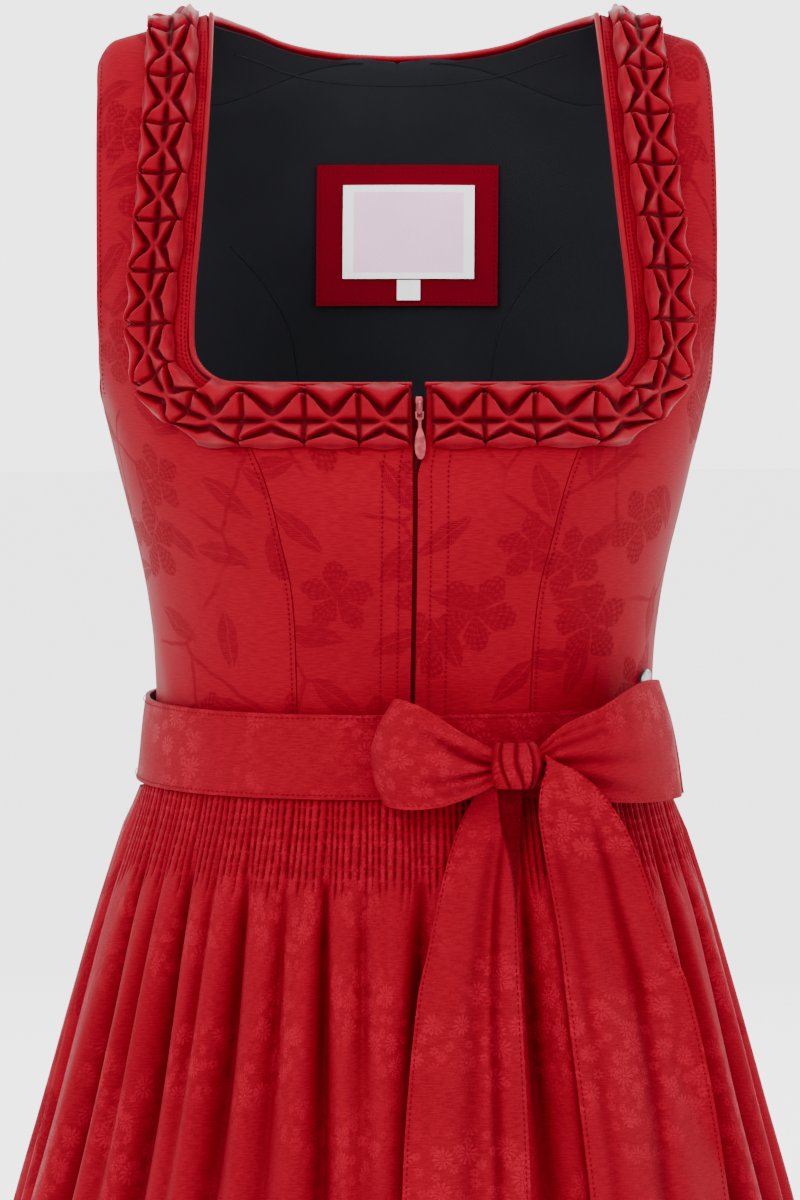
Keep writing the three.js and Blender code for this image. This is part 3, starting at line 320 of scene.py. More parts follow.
class Nodes:
    """Short words for building a finish out of shader nodes."""

    def __init__(self, name):
        self.mat = bpy.data.materials.new(name)
        self.mat.use_nodes = True
        self.tree = self.mat.node_tree
        self.tree.nodes.clear()
        self.out = self.tree.nodes.new("ShaderNodeOutputMaterial")
        self.shade = self.tree.nodes.new("ShaderNodeBsdfPrincipled")
        self.link(self.shade.outputs[0], self.out.inputs[0])

    def link(self, a, b):
        self.tree.links.new(a, b)

    def put(self, socket, value):
        if isinstance(value, bpy.types.NodeSocket):
            self.link(value, socket)
        elif value is not None:
            socket.default_value = value

    def node(self, kind, **inputs):
        n = self.tree.nodes.new(kind)
        for key, value in inputs.items():
            self.put(n.inputs[key.replace("_", " ")], value)
        return n

    def math(self, op, a, b=None, c=None, clamp=False):
        n = self.tree.nodes.new("ShaderNodeMath")
        n.operation = op
        n.use_clamp = clamp
        for s, v in zip(n.inputs, (a, b, c)):
            self.put(s, v)
        return n.outputs[0]

    def vmath(self, op, a, b=None, scale=None):
        n = self.tree.nodes.new("ShaderNodeVectorMath")
        n.operation = op
        self.put(n.inputs[0], a)
        if b is not None:
            self.put(n.inputs[1], b)
        if scale is not None:
            self.put(n.inputs["Scale"], scale)
        return n.outputs["Value"] if op in {"LENGTH", "DOT_PRODUCT"} else n.outputs[0]

    def step(self, value, low, high, to_low=0.0, to_high=1.0):
        n = self.tree.nodes.new("ShaderNodeMapRange")
        n.interpolation_type = "SMOOTHSTEP"
        for s, v in zip(n.inputs, (value, low, high, to_low, to_high)):
            self.put(s, v)
        return n.outputs[0]

    def mix(self, fac, a, b):
        n = self.tree.nodes.new("ShaderNodeMix")
        n.data_type = "RGBA"
        self.put(n.inputs[0], fac)
        self.put(n.inputs[6], a)
        self.put(n.inputs[7], b)
        return n.outputs[2]

    def noise(self, vector, scale, detail=2.0, rough=0.5, distort=0.0):
        n = self.node("ShaderNodeTexNoise", Vector=vector, Scale=scale, Detail=detail, Roughness=rough,
                      Distortion=distort)
        return n.outputs[0]

    def cells(self, vector, scale, feature="F1", random=1.0):
        n = self.tree.nodes.new("ShaderNodeTexVoronoi")
        n.feature = feature
        n.voronoi_dimensions = "2D"
        self.put(n.inputs["Vector"], vector)
        self.put(n.inputs["Scale"], scale)
        self.put(n.inputs["Randomness"], random)
        return n

    def cloth_place(self):
        n = self.tree.nodes.new("ShaderNodeUVMap")
        n.uv_map = "cloth"
        return n.outputs[0]

    def split(self, v):
        n = self.node("ShaderNodeSeparateXYZ", Vector=v)
        return n.outputs[0], n.outputs[1], n.outputs[2]

    def join(self, x, y, z=0.0):
        n = self.tree.nodes.new("ShaderNodeCombineXYZ")
        for s, v in zip(n.inputs, (x, y, z)):
            self.put(s, v)
        return n.outputs[0]

    def with_painted_shade(self, tone, least=0.25):
        """Darkens a colour with painted shade in the hollows of the pleats and folds."""
        n = self.tree.nodes.new("ShaderNodeAttribute")
        n.attribute_name = "painted_shade"
        keep = self.math("MULTIPLY_ADD", n.outputs["Fac"], least - 1.0, 1.0)
        return self.vmath("SCALE", tone, scale=keep)

    def bump(self, height, strength, distance, normal=None):
        n = self.node("ShaderNodeBump", Height=height, Strength=strength, Distance=distance)
        if normal is not None:
            self.link(normal, n.inputs["Normal"])
        return n.outputs[0]


def studio_white(name):
    """The pale even floor of the studio."""
    n = Nodes(name)
    place = n.tree.nodes.new("ShaderNodeTexCoord").outputs["Object"]
    tone = n.mix(n.noise(place, 40.0, 2.0), (0.86, 0.86, 0.87, 1.0), (0.9, 0.9, 0.9, 1.0))
    n.link(tone, n.shade.inputs["Base Color"])
    n.shade.inputs["Roughness"].default_value = 0.9
    return n.mat


def colour(value, alpha=1.0):
    return (value[0], value[1], value[2], alpha)


def flower_mask(n, place, scale, petals, size, seed):
    """Flowers scattered one to a cell, each turned its own way."""
    moved = n.vmath("ADD", place, (seed, seed * 0.37, 0.0))
    cell = n.cells(moved, scale, random=0.75)
    local = n.vmath("SUBTRACT", moved, cell.outputs["Position"])
    x, y, _ = n.split(local)
    radius = n.math("MULTIPLY", n.vmath("LENGTH", local), scale)
    angle = n.math("ARCTAN2", y, x)
    r, g, b = n.split(cell.outputs["Color"])
    spin = n.math("MULTIPLY_ADD", r, 6.283, angle)
    lobes = n.math("COSINE", n.math("MULTIPLY", spin, petals))
    edge = n.math("MULTIPLY_ADD", lobes, 0.16, 0.84)
    reach = n.math("MULTIPLY", edge, n.math("MULTIPLY_ADD", g, 0.3 * size, 0.85 * size))
    return radius, reach, spin, cell, local


def jacquard(name, ground, figure, shine, rough_ground, rough_figure, daisies, deep):
    """Figured cloth: satin ground with leaves and flowers, or a field of daisies."""
    n = Nodes(name)
    place = n.cloth_place()
    wander = n.noise(place, 60.0, 3.0)
    both = n.join(wander, n.noise(place, 73.0, 3.0))
    drift = n.vmath("SCALE", n.vmath("SUBTRACT", both, (0.5, 0.5, 0)), scale=0.0035 if daisies else 0.006)
    soft = n.vmath("ADD", place, drift)
    if daisies:
        r1, e1, a1, _, _ = flower_mask(n, soft, 64.0, 11.0, 0.36, 0.0)
        big = n.step(n.math("SUBTRACT", e1, r1), 0.0, 0.05)
        petal = n.step(n.math("COSINE", n.math("MULTIPLY", a1, 11.0)), -0.8, -0.1)
        heart = n.step(r1, 0.07, 0.05)
        ring = n.step(r1, 0.1, 0.085)
        head = n.math("MULTIPLY", big, petal)
        head = n.math("MAXIMUM", n.math("MULTIPLY", head, n.math("SUBTRACT", 1.0, ring)), heart)
        r2, e2, _, _, _ = flower_mask(n, soft, 118.0, 7.0, 0.34, 0.41)
        small = n.step(n.math("SUBTRACT", e2, r2), 0.0, 0.06)
        small = n.math("MULTIPLY", small, n.step(r2, 0.05, 0.08))
        away = n.math("ABSOLUTE", n.math("SUBTRACT", n.noise(soft, 430.0, 2.0), 0.5))
        squiggle = n.step(away, 0.06, 0.02)
        squiggle = n.math("MULTIPLY", squiggle, 0.3)
        clump = n.step(n.noise(place, 15.0, 2.0), 0.44, 0.56, 0.12, 1.0)
        bloom = n.math("MULTIPLY", n.math("MAXIMUM", head, n.math("MULTIPLY", small, 0.8)), clump)
        mask = n.math("MAXIMUM", bloom, n.math("MULTIPLY", squiggle, 0.8))
        hatch = n.noise(place, 900.0, 2.0)
        mask = n.math("MULTIPLY", mask, n.step(hatch, 0.3, 0.55, 0.55, 1.0))
    else:
        r1, e1, a1, _, _ = flower_mask(n, soft, 17.0, 5.0, 0.34, 0.13)
        head = n.step(n.math("SUBTRACT", e1, r1), 0.0, 0.02)
        veins = n.math("SINE", n.math("MULTIPLY", r1, 120.0))
        lines = n.math("COSINE", n.math("MULTIPLY", a1, 36.0))
        cuts = n.step(n.math("COSINE", n.math("MULTIPLY", a1, 5.0)), -0.97, -0.86)
        head = n.math("MULTIPLY", n.math("MULTIPLY", head, cuts),
                      n.step(n.math("ADD", veins, lines), -1.2, 0.4, 0.35, 1.0))
        _, _, _, cell2, local2 = flower_mask(n, soft, 26.0, 2.0, 0.3, 0.57)
        turnx, _, _ = n.split(cell2.outputs["Color"])
        ang = n.math("MULTIPLY", turnx, 6.283)
        x, y, _ = n.split(local2)
        cos, sin = n.math("COSINE", ang), n.math("SINE", ang)
        lx = n.math("ADD", n.math("MULTIPLY", x, cos), n.math("MULTIPLY", y, sin))
        ly = n.math("SUBTRACT", n.math("MULTIPLY", y, cos), n.math("MULTIPLY", x, sin))
        length = n.math("MULTIPLY", lx, 26.0 / 0.42)
        taper = n.math("SUBTRACT", 1.0, n.math("MULTIPLY", length, length))
        taper = n.math("MULTIPLY", n.math("MAXIMUM", taper, 0.0), 0.15 / 26.0)
        blade = n.step(n.math("SUBTRACT", taper, n.math("ABSOLUTE", ly)), 0.0, 0.0006)
        ribs = n.math("SINE", n.math("MULTIPLY", n.math("ADD", n.math("ABSOLUTE", ly), lx), 5200.0))
        blade = n.math("MULTIPLY", blade, n.step(ribs, -0.8, 0.3, 0.3, 1.0))
        blade = n.math("MULTIPLY", blade, n.step(n.math("ABSOLUTE", ly), 0.0002, 0.0005))
        stems = n.cells(soft, 14.0, "DISTANCE_TO_EDGE", 0.9)
        stem = n.step(stems.outputs["Distance"], 0.02, 0.009)
        gate = n.step(n.noise(place, 18.0, 1.0), 0.47, 0.55)
        stem = n.math("MULTIPLY", stem, gate)
        mask = n.math("MAXIMUM", head, n.math("MAXIMUM", blade, n.math("MULTIPLY", stem, 0.8)))
    slow = n.step(n.noise(place, 9.0, 3.0), 0.3, 0.7)
    base = n.mix(slow, colour(ground), colour([c * 0.9 for c in ground]))
    tone = n.mix(mask, base, colour(figure))
    px, py, _ = n.split(place)
    weft = n.math("SINE", n.math("MULTIPLY", py, 9000.0))
    warp = n.math("SINE", n.math("MULTIPLY", px, 9000.0))
    twill = n.math("SINE", n.math("MULTIPLY", n.math("ADD", px, py), 6500.0))
    crossed = n.math("MULTIPLY", n.math("MULTIPLY", warp, twill), 0.5)
    thread = n.math("ADD", n.math("MULTIPLY", weft, 0.5), crossed)
    slub = n.noise(n.join(n.math("MULTIPLY", px, 0.12), py), 1500.0, 3.0)
    grain = n.step(n.math("ADD", n.math("MULTIPLY", thread, 0.08), slub), 0.35, 0.65, 0.88, 1.08)
    mult = n.tree.nodes.new("ShaderNodeMix")
    mult.data_type = "RGBA"
    mult.blend_type = "MULTIPLY"
    mult.inputs[0].default_value = 1.0
    n.link(tone, mult.inputs[6])
    n.link(n.join(grain, grain, grain), mult.inputs[7])
    # The colour is darkened by painted shade in the hollows of folds, pleats and creases.
    n.link(n.with_painted_shade(mult.outputs[2]), n.shade.inputs["Base Color"])
    rough = n.math("ADD", blend_value(n, mask, rough_ground, rough_figure), n.math("MULTIPLY", slub, 0.06))
    n.link(rough, n.shade.inputs["Roughness"])
    n.shade.inputs["Specular IOR Level"].default_value = shine
    n.shade.inputs["Specular Tint"].default_value = colour(deep)
    n.shade.inputs["Sheen Weight"].default_value = 0.02
    n.shade.inputs["Sheen Roughness"].default_value = 0.35
    n.shade.inputs["Sheen Tint"].default_value = colour(deep)
    first = n.bump(n.math("ADD", thread, n.math("MULTIPLY", slub, 2.0)), 0.25, 0.00012)
    second = n.bump(mask, 0.35, 0.00025, first)
    n.link(second, n.shade.inputs["Normal"])
    return n.mat


def blend_value(n, fac, a, b):
    return n.math("MULTIPLY_ADD", fac, b - a, a)


def plain_cloth(name, base, rough, scale=5200.0, bump=0.2, sheen=0.2):
    """Plain woven cloth: threads both ways and a slow change of tone."""
    n = Nodes(name)
    place = n.cloth_place()
    px, py, _ = n.split(place)
    warp = n.math("SINE", n.math("MULTIPLY", px, scale))
    weft = n.math("SINE", n.math("MULTIPLY", py, scale))
    twill = n.math("SINE", n.math("MULTIPLY", n.math("ADD", px, py), scale * 0.8))
    thread = n.math("ADD", n.math("MULTIPLY", warp, weft), n.math("MULTIPLY", twill, 0.6))
    slow = n.noise(place, 14.0, 3.0)
    fine = n.noise(place, 1800.0, 2.0)
    mottle = n.math("ADD", n.math("MULTIPLY", fine, 0.5), n.math("MULTIPLY", slow, 0.5))
    tone = n.mix(n.step(mottle, 0.35, 0.65),
                 colour([c * 0.82 for c in base]), colour([min(1, c * 1.1) for c in base]))
    # The colour is darkened by painted shade in the hollows of folds, pleats and creases.
    n.link(n.with_painted_shade(tone), n.shade.inputs["Base Color"])
    n.link(n.math("MULTIPLY_ADD", fine, 0.12, rough), n.shade.inputs["Roughness"])
    n.shade.inputs["Sheen Weight"].default_value = sheen
    n.shade.inputs["Sheen Tint"].default_value = colour(base)
    n.shade.inputs["Specular IOR Level"].default_value = 0.25
    n.shade.inputs["Specular Tint"].default_value = colour([min(1, c * 1.6 + 0.02) for c in base])
    n.link(n.bump(thread, bump, 0.0001), n.shade.inputs["Normal"])
    return n.mat


def object_finish(name, base, rough, metal, speck, bump=0.1, tint=None):
    """A finish on Object coordinates for threads, metal and hard pieces."""
    n = Nodes(name)
    place = n.tree.nodes.new("ShaderNodeTexCoord").outputs["Object"]
    slow = n.noise(place, speck, 3.0)
    fine = n.noise(place, speck * 12, 2.0)
    tone = n.mix(n.step(slow, 0.35, 0.65), colour([c * 0.8 for c in base]), colour(tint or base))
    n.link(tone, n.shade.inputs["Base Color"])
    n.link(n.math("MULTIPLY_ADD", fine, 0.15, rough), n.shade.inputs["Roughness"])
    n.shade.inputs["Metallic"].default_value = metal
    if not metal:
        n.shade.inputs["Specular IOR Level"].default_value = 0.02
    n.link(n.bump(fine, bump, 0.00005), n.shade.inputs["Normal"])
    return n.mat


class DirndlCloth(bpy.types.PropertyGroup):
    """Colours of the cloth and the hard pieces."""

    satin: bpy.props.FloatVectorProperty(
        name="Satin", description="Ground of the bodice and skirt cloth",
        subtype="COLOR", size=3, min=0, max=1, default=(0.135, 0.0013, 0.0068))
    figure: bpy.props.FloatVectorProperty(
        name="Figure", description="Woven leaves and flowers on the satin",
        subtype="COLOR", size=3, min=0, max=1, default=(0.098, 0.001, 0.0052))
    apron: bpy.props.FloatVectorProperty(
        name="Apron", description="Ground of the apron, sash and bow",
        subtype="COLOR", size=3, min=0, max=1, default=(0.118, 0.0013, 0.006))
    daisy: bpy.props.FloatVectorProperty(
        name="Daisy", description="Woven daisies of the apron cloth",
        subtype="COLOR", size=3, min=0, max=1, default=(0.158, 0.0018, 0.009))
    lining: bpy.props.FloatVectorProperty(
        name="Lining", description="Plain lining of the bodice",
        subtype="COLOR", size=3, min=0, max=1, default=(0.0085, 0.0085, 0.0104))
    metal: bpy.props.FloatVectorProperty(
        name="Zip metal", description="Slider and pull",
        subtype="COLOR", size=3, min=0, max=1, default=(0.13, 0.004, 0.009))


class DirndlShape(bpy.types.PropertyGroup):
    """Depths of the small forms, in metres."""

    pleat_depth: bpy.props.FloatProperty(
        name="Smocking depth", description="Relief of the apron's cartridge pleats",
        default=0.0015, min=0, max=0.002, unit="LENGTH")
    thread: bpy.props.FloatProperty(
        name="Thread", description="Radius of the topstitching thread",
        default=0.00024, min=0.0001, max=0.001, unit="LENGTH")
    crease: bpy.props.FloatProperty(
        name="Crease depth", description="Depth of the soft creases in the cloth",
        default=0.0009, min=0, max=0.003, unit="LENGTH")


class DirndlStudio(bpy.types.PropertyGroup):
    """The studio round the dress."""

    distance: bpy.props.FloatProperty(
        name="Camera distance", description="From the dress's axis to the camera",
        default=2.6, min=1, max=6, unit="LENGTH")
    lens: bpy.props.FloatProperty(
        name="Lens", description="Focal length on the long side",
        default=159.2, min=50, max=300, unit="CAMERA")
    light: bpy.props.FloatProperty(
        name="Light", description="Strength of the soft boxes", default=1.0, min=0.1, max=5)


def settings():
    scene = bpy.context.scene
    return scene.dirndl_cloth, scene.dirndl_shape, scene.dirndl_studio


MATERIALS = {}


def finish(name):
    """The finish of that name, made at its first use."""
    if name not in MATERIALS:
        c, _, _ = settings()
        makers = {
            "satin": lambda: jacquard("satin_jacquard", c.satin, c.figure, 0.035, 0.5, 0.66, False,
                                      [v * 2 for v in c.satin]),
            "apron": lambda: jacquard("apron_jacquard", c.apron, c.daisy, 0.08, 0.66, 0.52, True,
                                      [v * 2 for v in c.daisy]),
            "trim": lambda: plain_cloth("trim_satin", c.satin, 0.42, 7000.0, 0.15, 0.1),
            "lining": lambda: plain_cloth("lining_twill", c.lining, 0.62, bump=0.25, sheen=0.05),
            "tape": lambda: plain_cloth("zip_tape_weave", (0.03, 0.0008, 0.002), 0.7),
            "patch": lambda: plain_cloth("patch_cloth", (0.1, 0.0012, 0.006), 0.6),
            "piping": lambda: plain_cloth("piping_satin", c.satin, 0.45),
            "label": lambda: plain_cloth("label_weave", (0.92, 0.93, 0.95), 0.55, bump=0.12, sheen=0.05),
            "label_field": lambda: plain_cloth("label_field_weave", (0.88, 0.52, 0.72), 0.6, bump=0.12,
                                               sheen=0.05),
            "thread": lambda: object_finish("topstitch_thread", (0.07, 0.0009, 0.004), 0.5, 0.0, 900.0,
                                            0.2),
            "dark_thread": lambda: object_finish("apron_thread", (0.085, 0.001, 0.0045), 0.6, 0.0, 900.0,
                                                 0.2),
            "coil": lambda: object_finish("zip_coil", (0.05, 0.001, 0.0028), 0.45, 0.0, 700.0, 0.1),
            "metal": lambda: object_finish("zip_lacquer", c.metal, 0.3, 0.5, 260.0, 0.05,
                                           (0.26, 0.014, 0.025)),
            "silver": lambda: object_finish("button_metal", (0.22, 0.225, 0.235), 0.3, 1.0, 300.0, 0.08,
                                            (0.34, 0.345, 0.36)),
            "floor": lambda: studio_white("studio_floor"),
        }
        MATERIALS[name] = makers[name]()
    return MATERIALS[name]


def panel_place(edge_a, edge_b, back, out):
    """A place function for a panel ruled between two smooth edges."""
    a, b = along(edge_a), along(edge_b)

    def place(u, v):
        pa, qa = a(v)
        pb, qb = b(v)
        phi, q = blend(pa, pb, u), blend(qa, qb, u)
        raised = out(phi, q) if callable(out) else out
        return lay(phi, q, back, raised)

    return place


LOW_ROWS = [-375, -352, -330, -308, -288, -268, -250, -233, -217, -202]
BACK_LOW = [[38, -375], [38.6, -352], [40, -330], [42, -300], [44.5, -268], [46.5, -238],
            [48, -210], [48.6, -188]]
SEAM_ROWS = BACK_LOW + [[50, -137], [62, -106], [84, -78], [112, -61], [149.2, -55]]


def pair(x, z, back=False):
    return find(x, z, back).tolist()


def front_edges(side):
    rows = LOW_ROWS + [-188, -174.8]
    inner = [pair(float(zip_line(z)) + side * float(zip_room(z)), z) for z in rows]
    outer = [pair(side * (float(princess_x(z)) - GAP), z) for z in rows]
    return inner, outer


def side_edges(side):
    inner = [pair(side * (float(princess_x(z)) + GAP), z) for z in LOW_ROWS]
    outer = [side_seam(side, z).tolist() for z in LOW_ROWS]
    corner = [[-188, 83], [-180, 85.2], [-175, 90.4], [-172.4, 96.2], [-167.5, 102.2], [-158, 106.4]]
    for z, x in corner:
        inner.append(pair(side * (x + GAP), z))
        outer.append(pair(side * (float(armhole_x(z)) - GAP), z))
    for z in [-138, -110, -84, -60, -40, -24, -11]:
        drop = z - (z + 188) * 0.09
        inner.append(pair(side * (float(neck_x(z)) + NECK_EDGE), z))
        outer.append(pair(side * float(armhole_x(drop)), drop))
    for x, q, xo, qo in [(95.8, 0.985, 148.4, 0.94), (95.8, 0.9985, 147.2, 0.9985)]:
        inner.append([ridge(side * x)[0], q])
        outer.append([ridge(side * xo)[0], qo])
    return inner, outer


def back_edges(side):
    inner = [pair(side * (x + (GAP if x < 100 else 0)), z - GAP if x > 60 else z, True)
             for x, z in SEAM_ROWS]
    outer = []
    for k, (_, z) in enumerate(SEAM_ROWS):
        if z <= -188:
            outer.append(side_seam(side, z).tolist())
        else:
            level = [-184, -174, -152, -118, -84, -62][k - len(BACK_LOW) + 1]
            outer.append(pair(side * float(armhole_x(level)), level, True))
    return inner, outer


STRAP_ROWS = [(8.5, -47), (17.5, -45.5), (26, -44), (36, -42), (46, -40.5), (54, -39), (62, -37.5),
              (75, -35), (85, -32.5), (91, -30)]


def strap_rows(inner, outer, inset, side):
    """Carries the edges on from the back neck and over the shoulder."""
    for x, z in STRAP_ROWS:
        inner.append(pair(x, float(back_neck_z(x)) - inset, True))
        outer.append(pair(149 - side, z, True))
    inner += [[ridge(x + side)[0], q] for x, q in ((94.6, 0.93), (95.6, 0.965), (95.6, 0.9985))]
    outer += [[ridge(x - side)[0], q] for x, q in ((148.5, 0.945), (148, 0.972), (147.2, 0.9985))]


def fold_place(inner, outer, count, out, sink=0.0):
    """Half of a panel cut on the fold, from the centre line outwards."""
    a, b = along(inner), along(outer)
    last = (count - 1) / (len(inner) - 1)

    def place(u, v):
        pa, qa = a(v)
        pb, qb = b(v)
        phi, q = blend(pa, pb, u), blend(qa, qb, u)
        low = sink * smooth(0.1, 0.34, q) * (1 - smooth(0.84, 0.98, q))
        p = lay(phi, q, True, out - low)
        p[..., 0] = np.where((u < 1e-6) & (v <= last + 1e-6), 0.0, p[..., 0])
        return p

    return place


def soft_creases(depth, seed):
    """Slow hollows over the bodice, strongest at the waist and the underarm."""
    def raised(phi, q):
        waist = np.exp(-((q + 0.78) / 0.16) ** 2)
        arm = np.exp(-((q - 0.02) / 0.2) ** 2) * smooth(0.9, 1.4, np.abs(phi))
        wave = np.sin(phi * 21 + seed + 3 * np.sin(q * 9 + seed))
        wave = wave + 0.6 * np.sin(phi * 13 - q * 17 + seed * 2)
        return depth * wave * 0.5 * (0.15 + 0.7 * waist + 0.8 * arm) - depth * 0.5
    return raised


class DIRNDL_OT_bodice(bpy.types.Operator):
    """Cut and lay the seven panels of the bodice"""

    bl_idname = "dirndl.bodice"
    bl_label = "Bodice"

    def execute(self, context):
        _, shape, _ = settings()
        depth = shape.crease / MM
        for side, tag in ((-1, "left"), (1, "right")):
            a, b = front_edges(side)
            out = soft_creases(depth * 0.5, side)
            obj, size = sheet_piece(f"front_{tag}", 30, 96, panel_place(a, b, False, out), SHELL,
                                    finish("satin"), replaces=(f"bodice_front_{tag}",),
                                    shift=(0.11 * side, 0.05 + 0.07 * side))
            a, b = side_edges(side)
            obj, size = sheet_piece(f"side_{tag}", 34, 132, panel_place(a, b, False, out), SHELL,
                                    finish("satin"), replaces=(f"bodice_side_{tag}",),
                                    shift=(0.3 + 0.17 * side, 0.2 * side))
            a, b = back_edges(side)
            out = soft_creases(depth * 0.5, side + 4)
            obj, size = sheet_piece(f"back_{tag}", 36, 110, panel_place(a, b, True, out), SHELL,
                                    finish("satin"), replaces=(f"bodice_back_{tag}",),
                                    shift=(0.6 + 0.13 * side, 0.33 * side))
        inner = [pair(0, z, True) for _, z in BACK_LOW]
        outer = [pair(x - GAP, z, True) for x, z in BACK_LOW]
        rising = [(-137, 50, -137), (-108, 62, -106), (-84, 84, -78), (-64, 112, -61), (-44, 149, -55)]
        for zc, x, z in rising:
            inner.append(pair(0, zc, True))
            outer.append(pair(x - (GAP if x < 100 else 0), z + GAP if x > 60 else z, True))
        inner.append(pair(0, float(back_neck_z(0)) - NECK_EDGE, True))
        outer.append(pair(149.1, -48, True))
        count = len(inner)
        strap_rows(inner, outer, NECK_EDGE, 0)
        obj, size = sheet_piece("back_centre", 36, 104, fold_place(inner, outer, count, 0.0), SHELL,
                                finish("satin"), replaces=("bodice_back_centre",), mirrored=True)
        return {"FINISHED"}


class DIRNDL_OT_lining(bpy.types.Operator):
    """Line the bodice: two fronts with the straps and the whole back"""

    bl_idname = "dirndl.lining"
    bl_label = "Lining"

    def execute(self, context):
        for side, tag in ((-1, "left"), (1, "right")):
            rows = [-374.6] + LOW_ROWS[1:] + [-188]
            inner = [pair(float(zip_line(z)) + side * 13.5, z) for z in rows]
            outer = [side_seam(side, z).tolist() for z in rows]
            for z, x, up in [(-175.8, 14.5, -180), (-175.8, 62, -170), (-175, 90, -158),
                             (-171.5, 98.5, -146), (-160, 106.6, -132)]:
                inner.append(pair(side * x, z))
                outer.append(pair(side * (float(armhole_x(up)) - 0.5), up))
            for z, up in [(-128, -108), (-96, -84), (-66, -60), (-40, -41), (-20, -32)]:
                inner.append(pair(side * (float(neck_x(z)) + 1.2), z))
                outer.append(pair(side * (float(armhole_x(up)) - 0.5), up))
            inner += [[ridge(side * 96)[0], 0.97], [ridge(side * 96)[0], 0.998]]
            outer += [[ridge(side * 147.6)[0], 0.94], [ridge(side * 146.4)[0], 0.998]]
            obj, size = sheet_piece(f"front_lining_{tag}", 30, 92, panel_place(inner, outer, False, INSIDE),
                                    LINING, finish("lining"), (f"lining_front_{tag}",))
        rows = [-374.6, -352, -330, -302, -262, -224, -188, -160, -132, -106, -84, -64, -44]
        inner = [pair(0, z, True) for z in rows]
        outer = []
        for z in rows:
            low = -188 + (z + 188) * 0.9 + 3
            if z <= UNDERARM_Z:
                outer.append(side_seam(1, z).tolist())
            else:
                outer.append(pair(float(armhole_x(low)) - 0.5, low, True))
        inner.append(pair(0, float(back_neck_z(0)) - 1.3, True))
        outer.append(pair(148.8, -46, True))
        count = len(inner)
        strap_rows(inner, outer, 1.3, 0.4)
        obj, size = sheet_piece("back_lining", 32, 78, fold_place(inner, outer, count, INSIDE, 1.6), LINING,
                                finish("lining"), ("lining_back",), mirrored=True)
        return {"FINISHED"}


def bridge(bm, rings):
    """Faces between rings that have the same number of points."""
    sides = len(rings[0])
    for low, high in zip(rings, rings[1:]):
        for k in range(sides):
            j = (k + 1) % sides
            bm.faces.new((low[k], low[j], high[j], high[k]))


def tube_along(bm, centres, across, up, width, height, sides):
    """Bridges rings of points along a path into a closed tube."""
    rings = []
    for c, u, n in zip(centres, across, up):
        c, u, n = Vector(c), Vector(u), Vector(n)
        ring = []
        for k in range(sides):
            a = k / sides * 2 * math.pi
            point = c + u * math.cos(a) * width / 2 + n * math.sin(a) * height / 2
            ring.append(bm.verts.new(point * MM))
        rings.append(ring)
    bridge(bm, rings)
    bm.faces.new(rings[0][::-1])
    bm.faces.new(rings[-1])
    for face in bm.faces:
        face.smooth = True
    bmesh.ops.recalc_face_normals(bm, faces=bm.faces[:])


def neck_stations():
    """Points of the neck edge from the zip, over the shoulder, to the back."""
    p = []
    for x in (4.6, 22, 42, 62, 80):
        p.append((*pair(x, NECK_Z + 0.3), False))
    for x, z in ((89.5, -172.9), (96, -170.4), (101.5, -165.5), (104.7, -159), (105.4, -148)):
        p.append((*pair(x, z), False))
    for z in (-126, -102, -78, -56, -37, -22):
        p.append((*pair(float(neck_x(z)) - 0.6, z), False))
    p += [(ridge(94)[0], 0.93, False), (ridge(93.6)[0], 1.0, False), (ridge(93)[0], 1.07, False)]
    for x in (88, 80, 71, 61, 50, 37, 24, 12, 0):
        p.append((*pair(x, float(back_neck_z(x)) + 0.5, True), True))
    return p


def smooth_path(points, steps):
    """A finer path through the points, with every coordinate eased."""
    p = np.array(points, float)
    length = np.concatenate([[0], np.cumsum(np.linalg.norm(np.diff(p, axis=0), axis=1))])
    t = np.linspace(0, length[-1], steps)
    k = np.searchsorted(length, t, side="right").clip(1, len(p) - 1)
    out = []
    for v, i in zip(t, k):
        p0, p1, p2, p3 = p[max(i - 2, 0)], p[i - 1], p[i], p[min(i + 1, len(p) - 1)]
        f = (v - length[i - 1]) / (length[i] - length[i - 1])
        out.append(0.5 * ((2 * p1) + (p2 - p0) * f + (2 * p0 - 5 * p1 + 4 * p2 - p3) * f * f
                          + (3 * p1 - p0 - 3 * p2 + p3) * f ** 3))
    return np.array(out)


class DIRNDL_OT_piping(bpy.types.Operator):
    """Run the satin piping round the neck"""

    bl_idname = "dirndl.piping"
    bl_label = "Neck piping"

    def execute(self, context):
        half = neck_stations()
        centre = [lay(phi, q, back, -1.5) for phi, q, back in half]
        normal = [skin_normal(phi, q, back) for phi, q, back in half]
        flip = np.array([-1, 1, 1])
        centre = [c * flip for c in centre[:-1]] + [centre[-1]] + centre[-2::-1]
        centre[0] = lay(*pair(-1.7, NECK_Z + 0.3), False, -1.5)
        normal = [c * flip for c in normal[:-1]] + [normal[-1]] + normal[-2::-1]
        path = smooth_path(centre, 420)
        arc = np.concatenate([[0], np.cumsum(np.linalg.norm(np.diff(np.array(centre), axis=0), axis=1))])
        want = np.linspace(0, arc[-1], len(path))
        n = np.stack([np.interp(want, arc, np.array(normal)[:, j]) for j in range(3)], axis=1)
        tangent = np.gradient(path, axis=0)
        tangent /= np.linalg.norm(tangent, axis=1, keepdims=True)
        n -= tangent * (n * tangent).sum(1, keepdims=True)
        n /= np.linalg.norm(n, axis=1, keepdims=True)
        across = np.cross(tangent, n)
        bm = bmesh.new()
        tube_along(bm, path, across, n, 2.6, 4.4, 10)
        lay_flat_uv(bm)
        finish_piece(bm, "neck_edge", finish("piping"), ("neck_piping",))
        return {"FINISHED"}


def lay_flat_uv(bm):
    """A plain cloth map for narrow pieces, by the widest faces of each."""
    layer = bm.loops.layers.uv.new("cloth")
    for face in bm.faces:
        for loop in face.loops:
            c = loop.vert.co
            loop[layer].uv = (c.x + c.y * 0.3, c.z + c.y * 0.7)


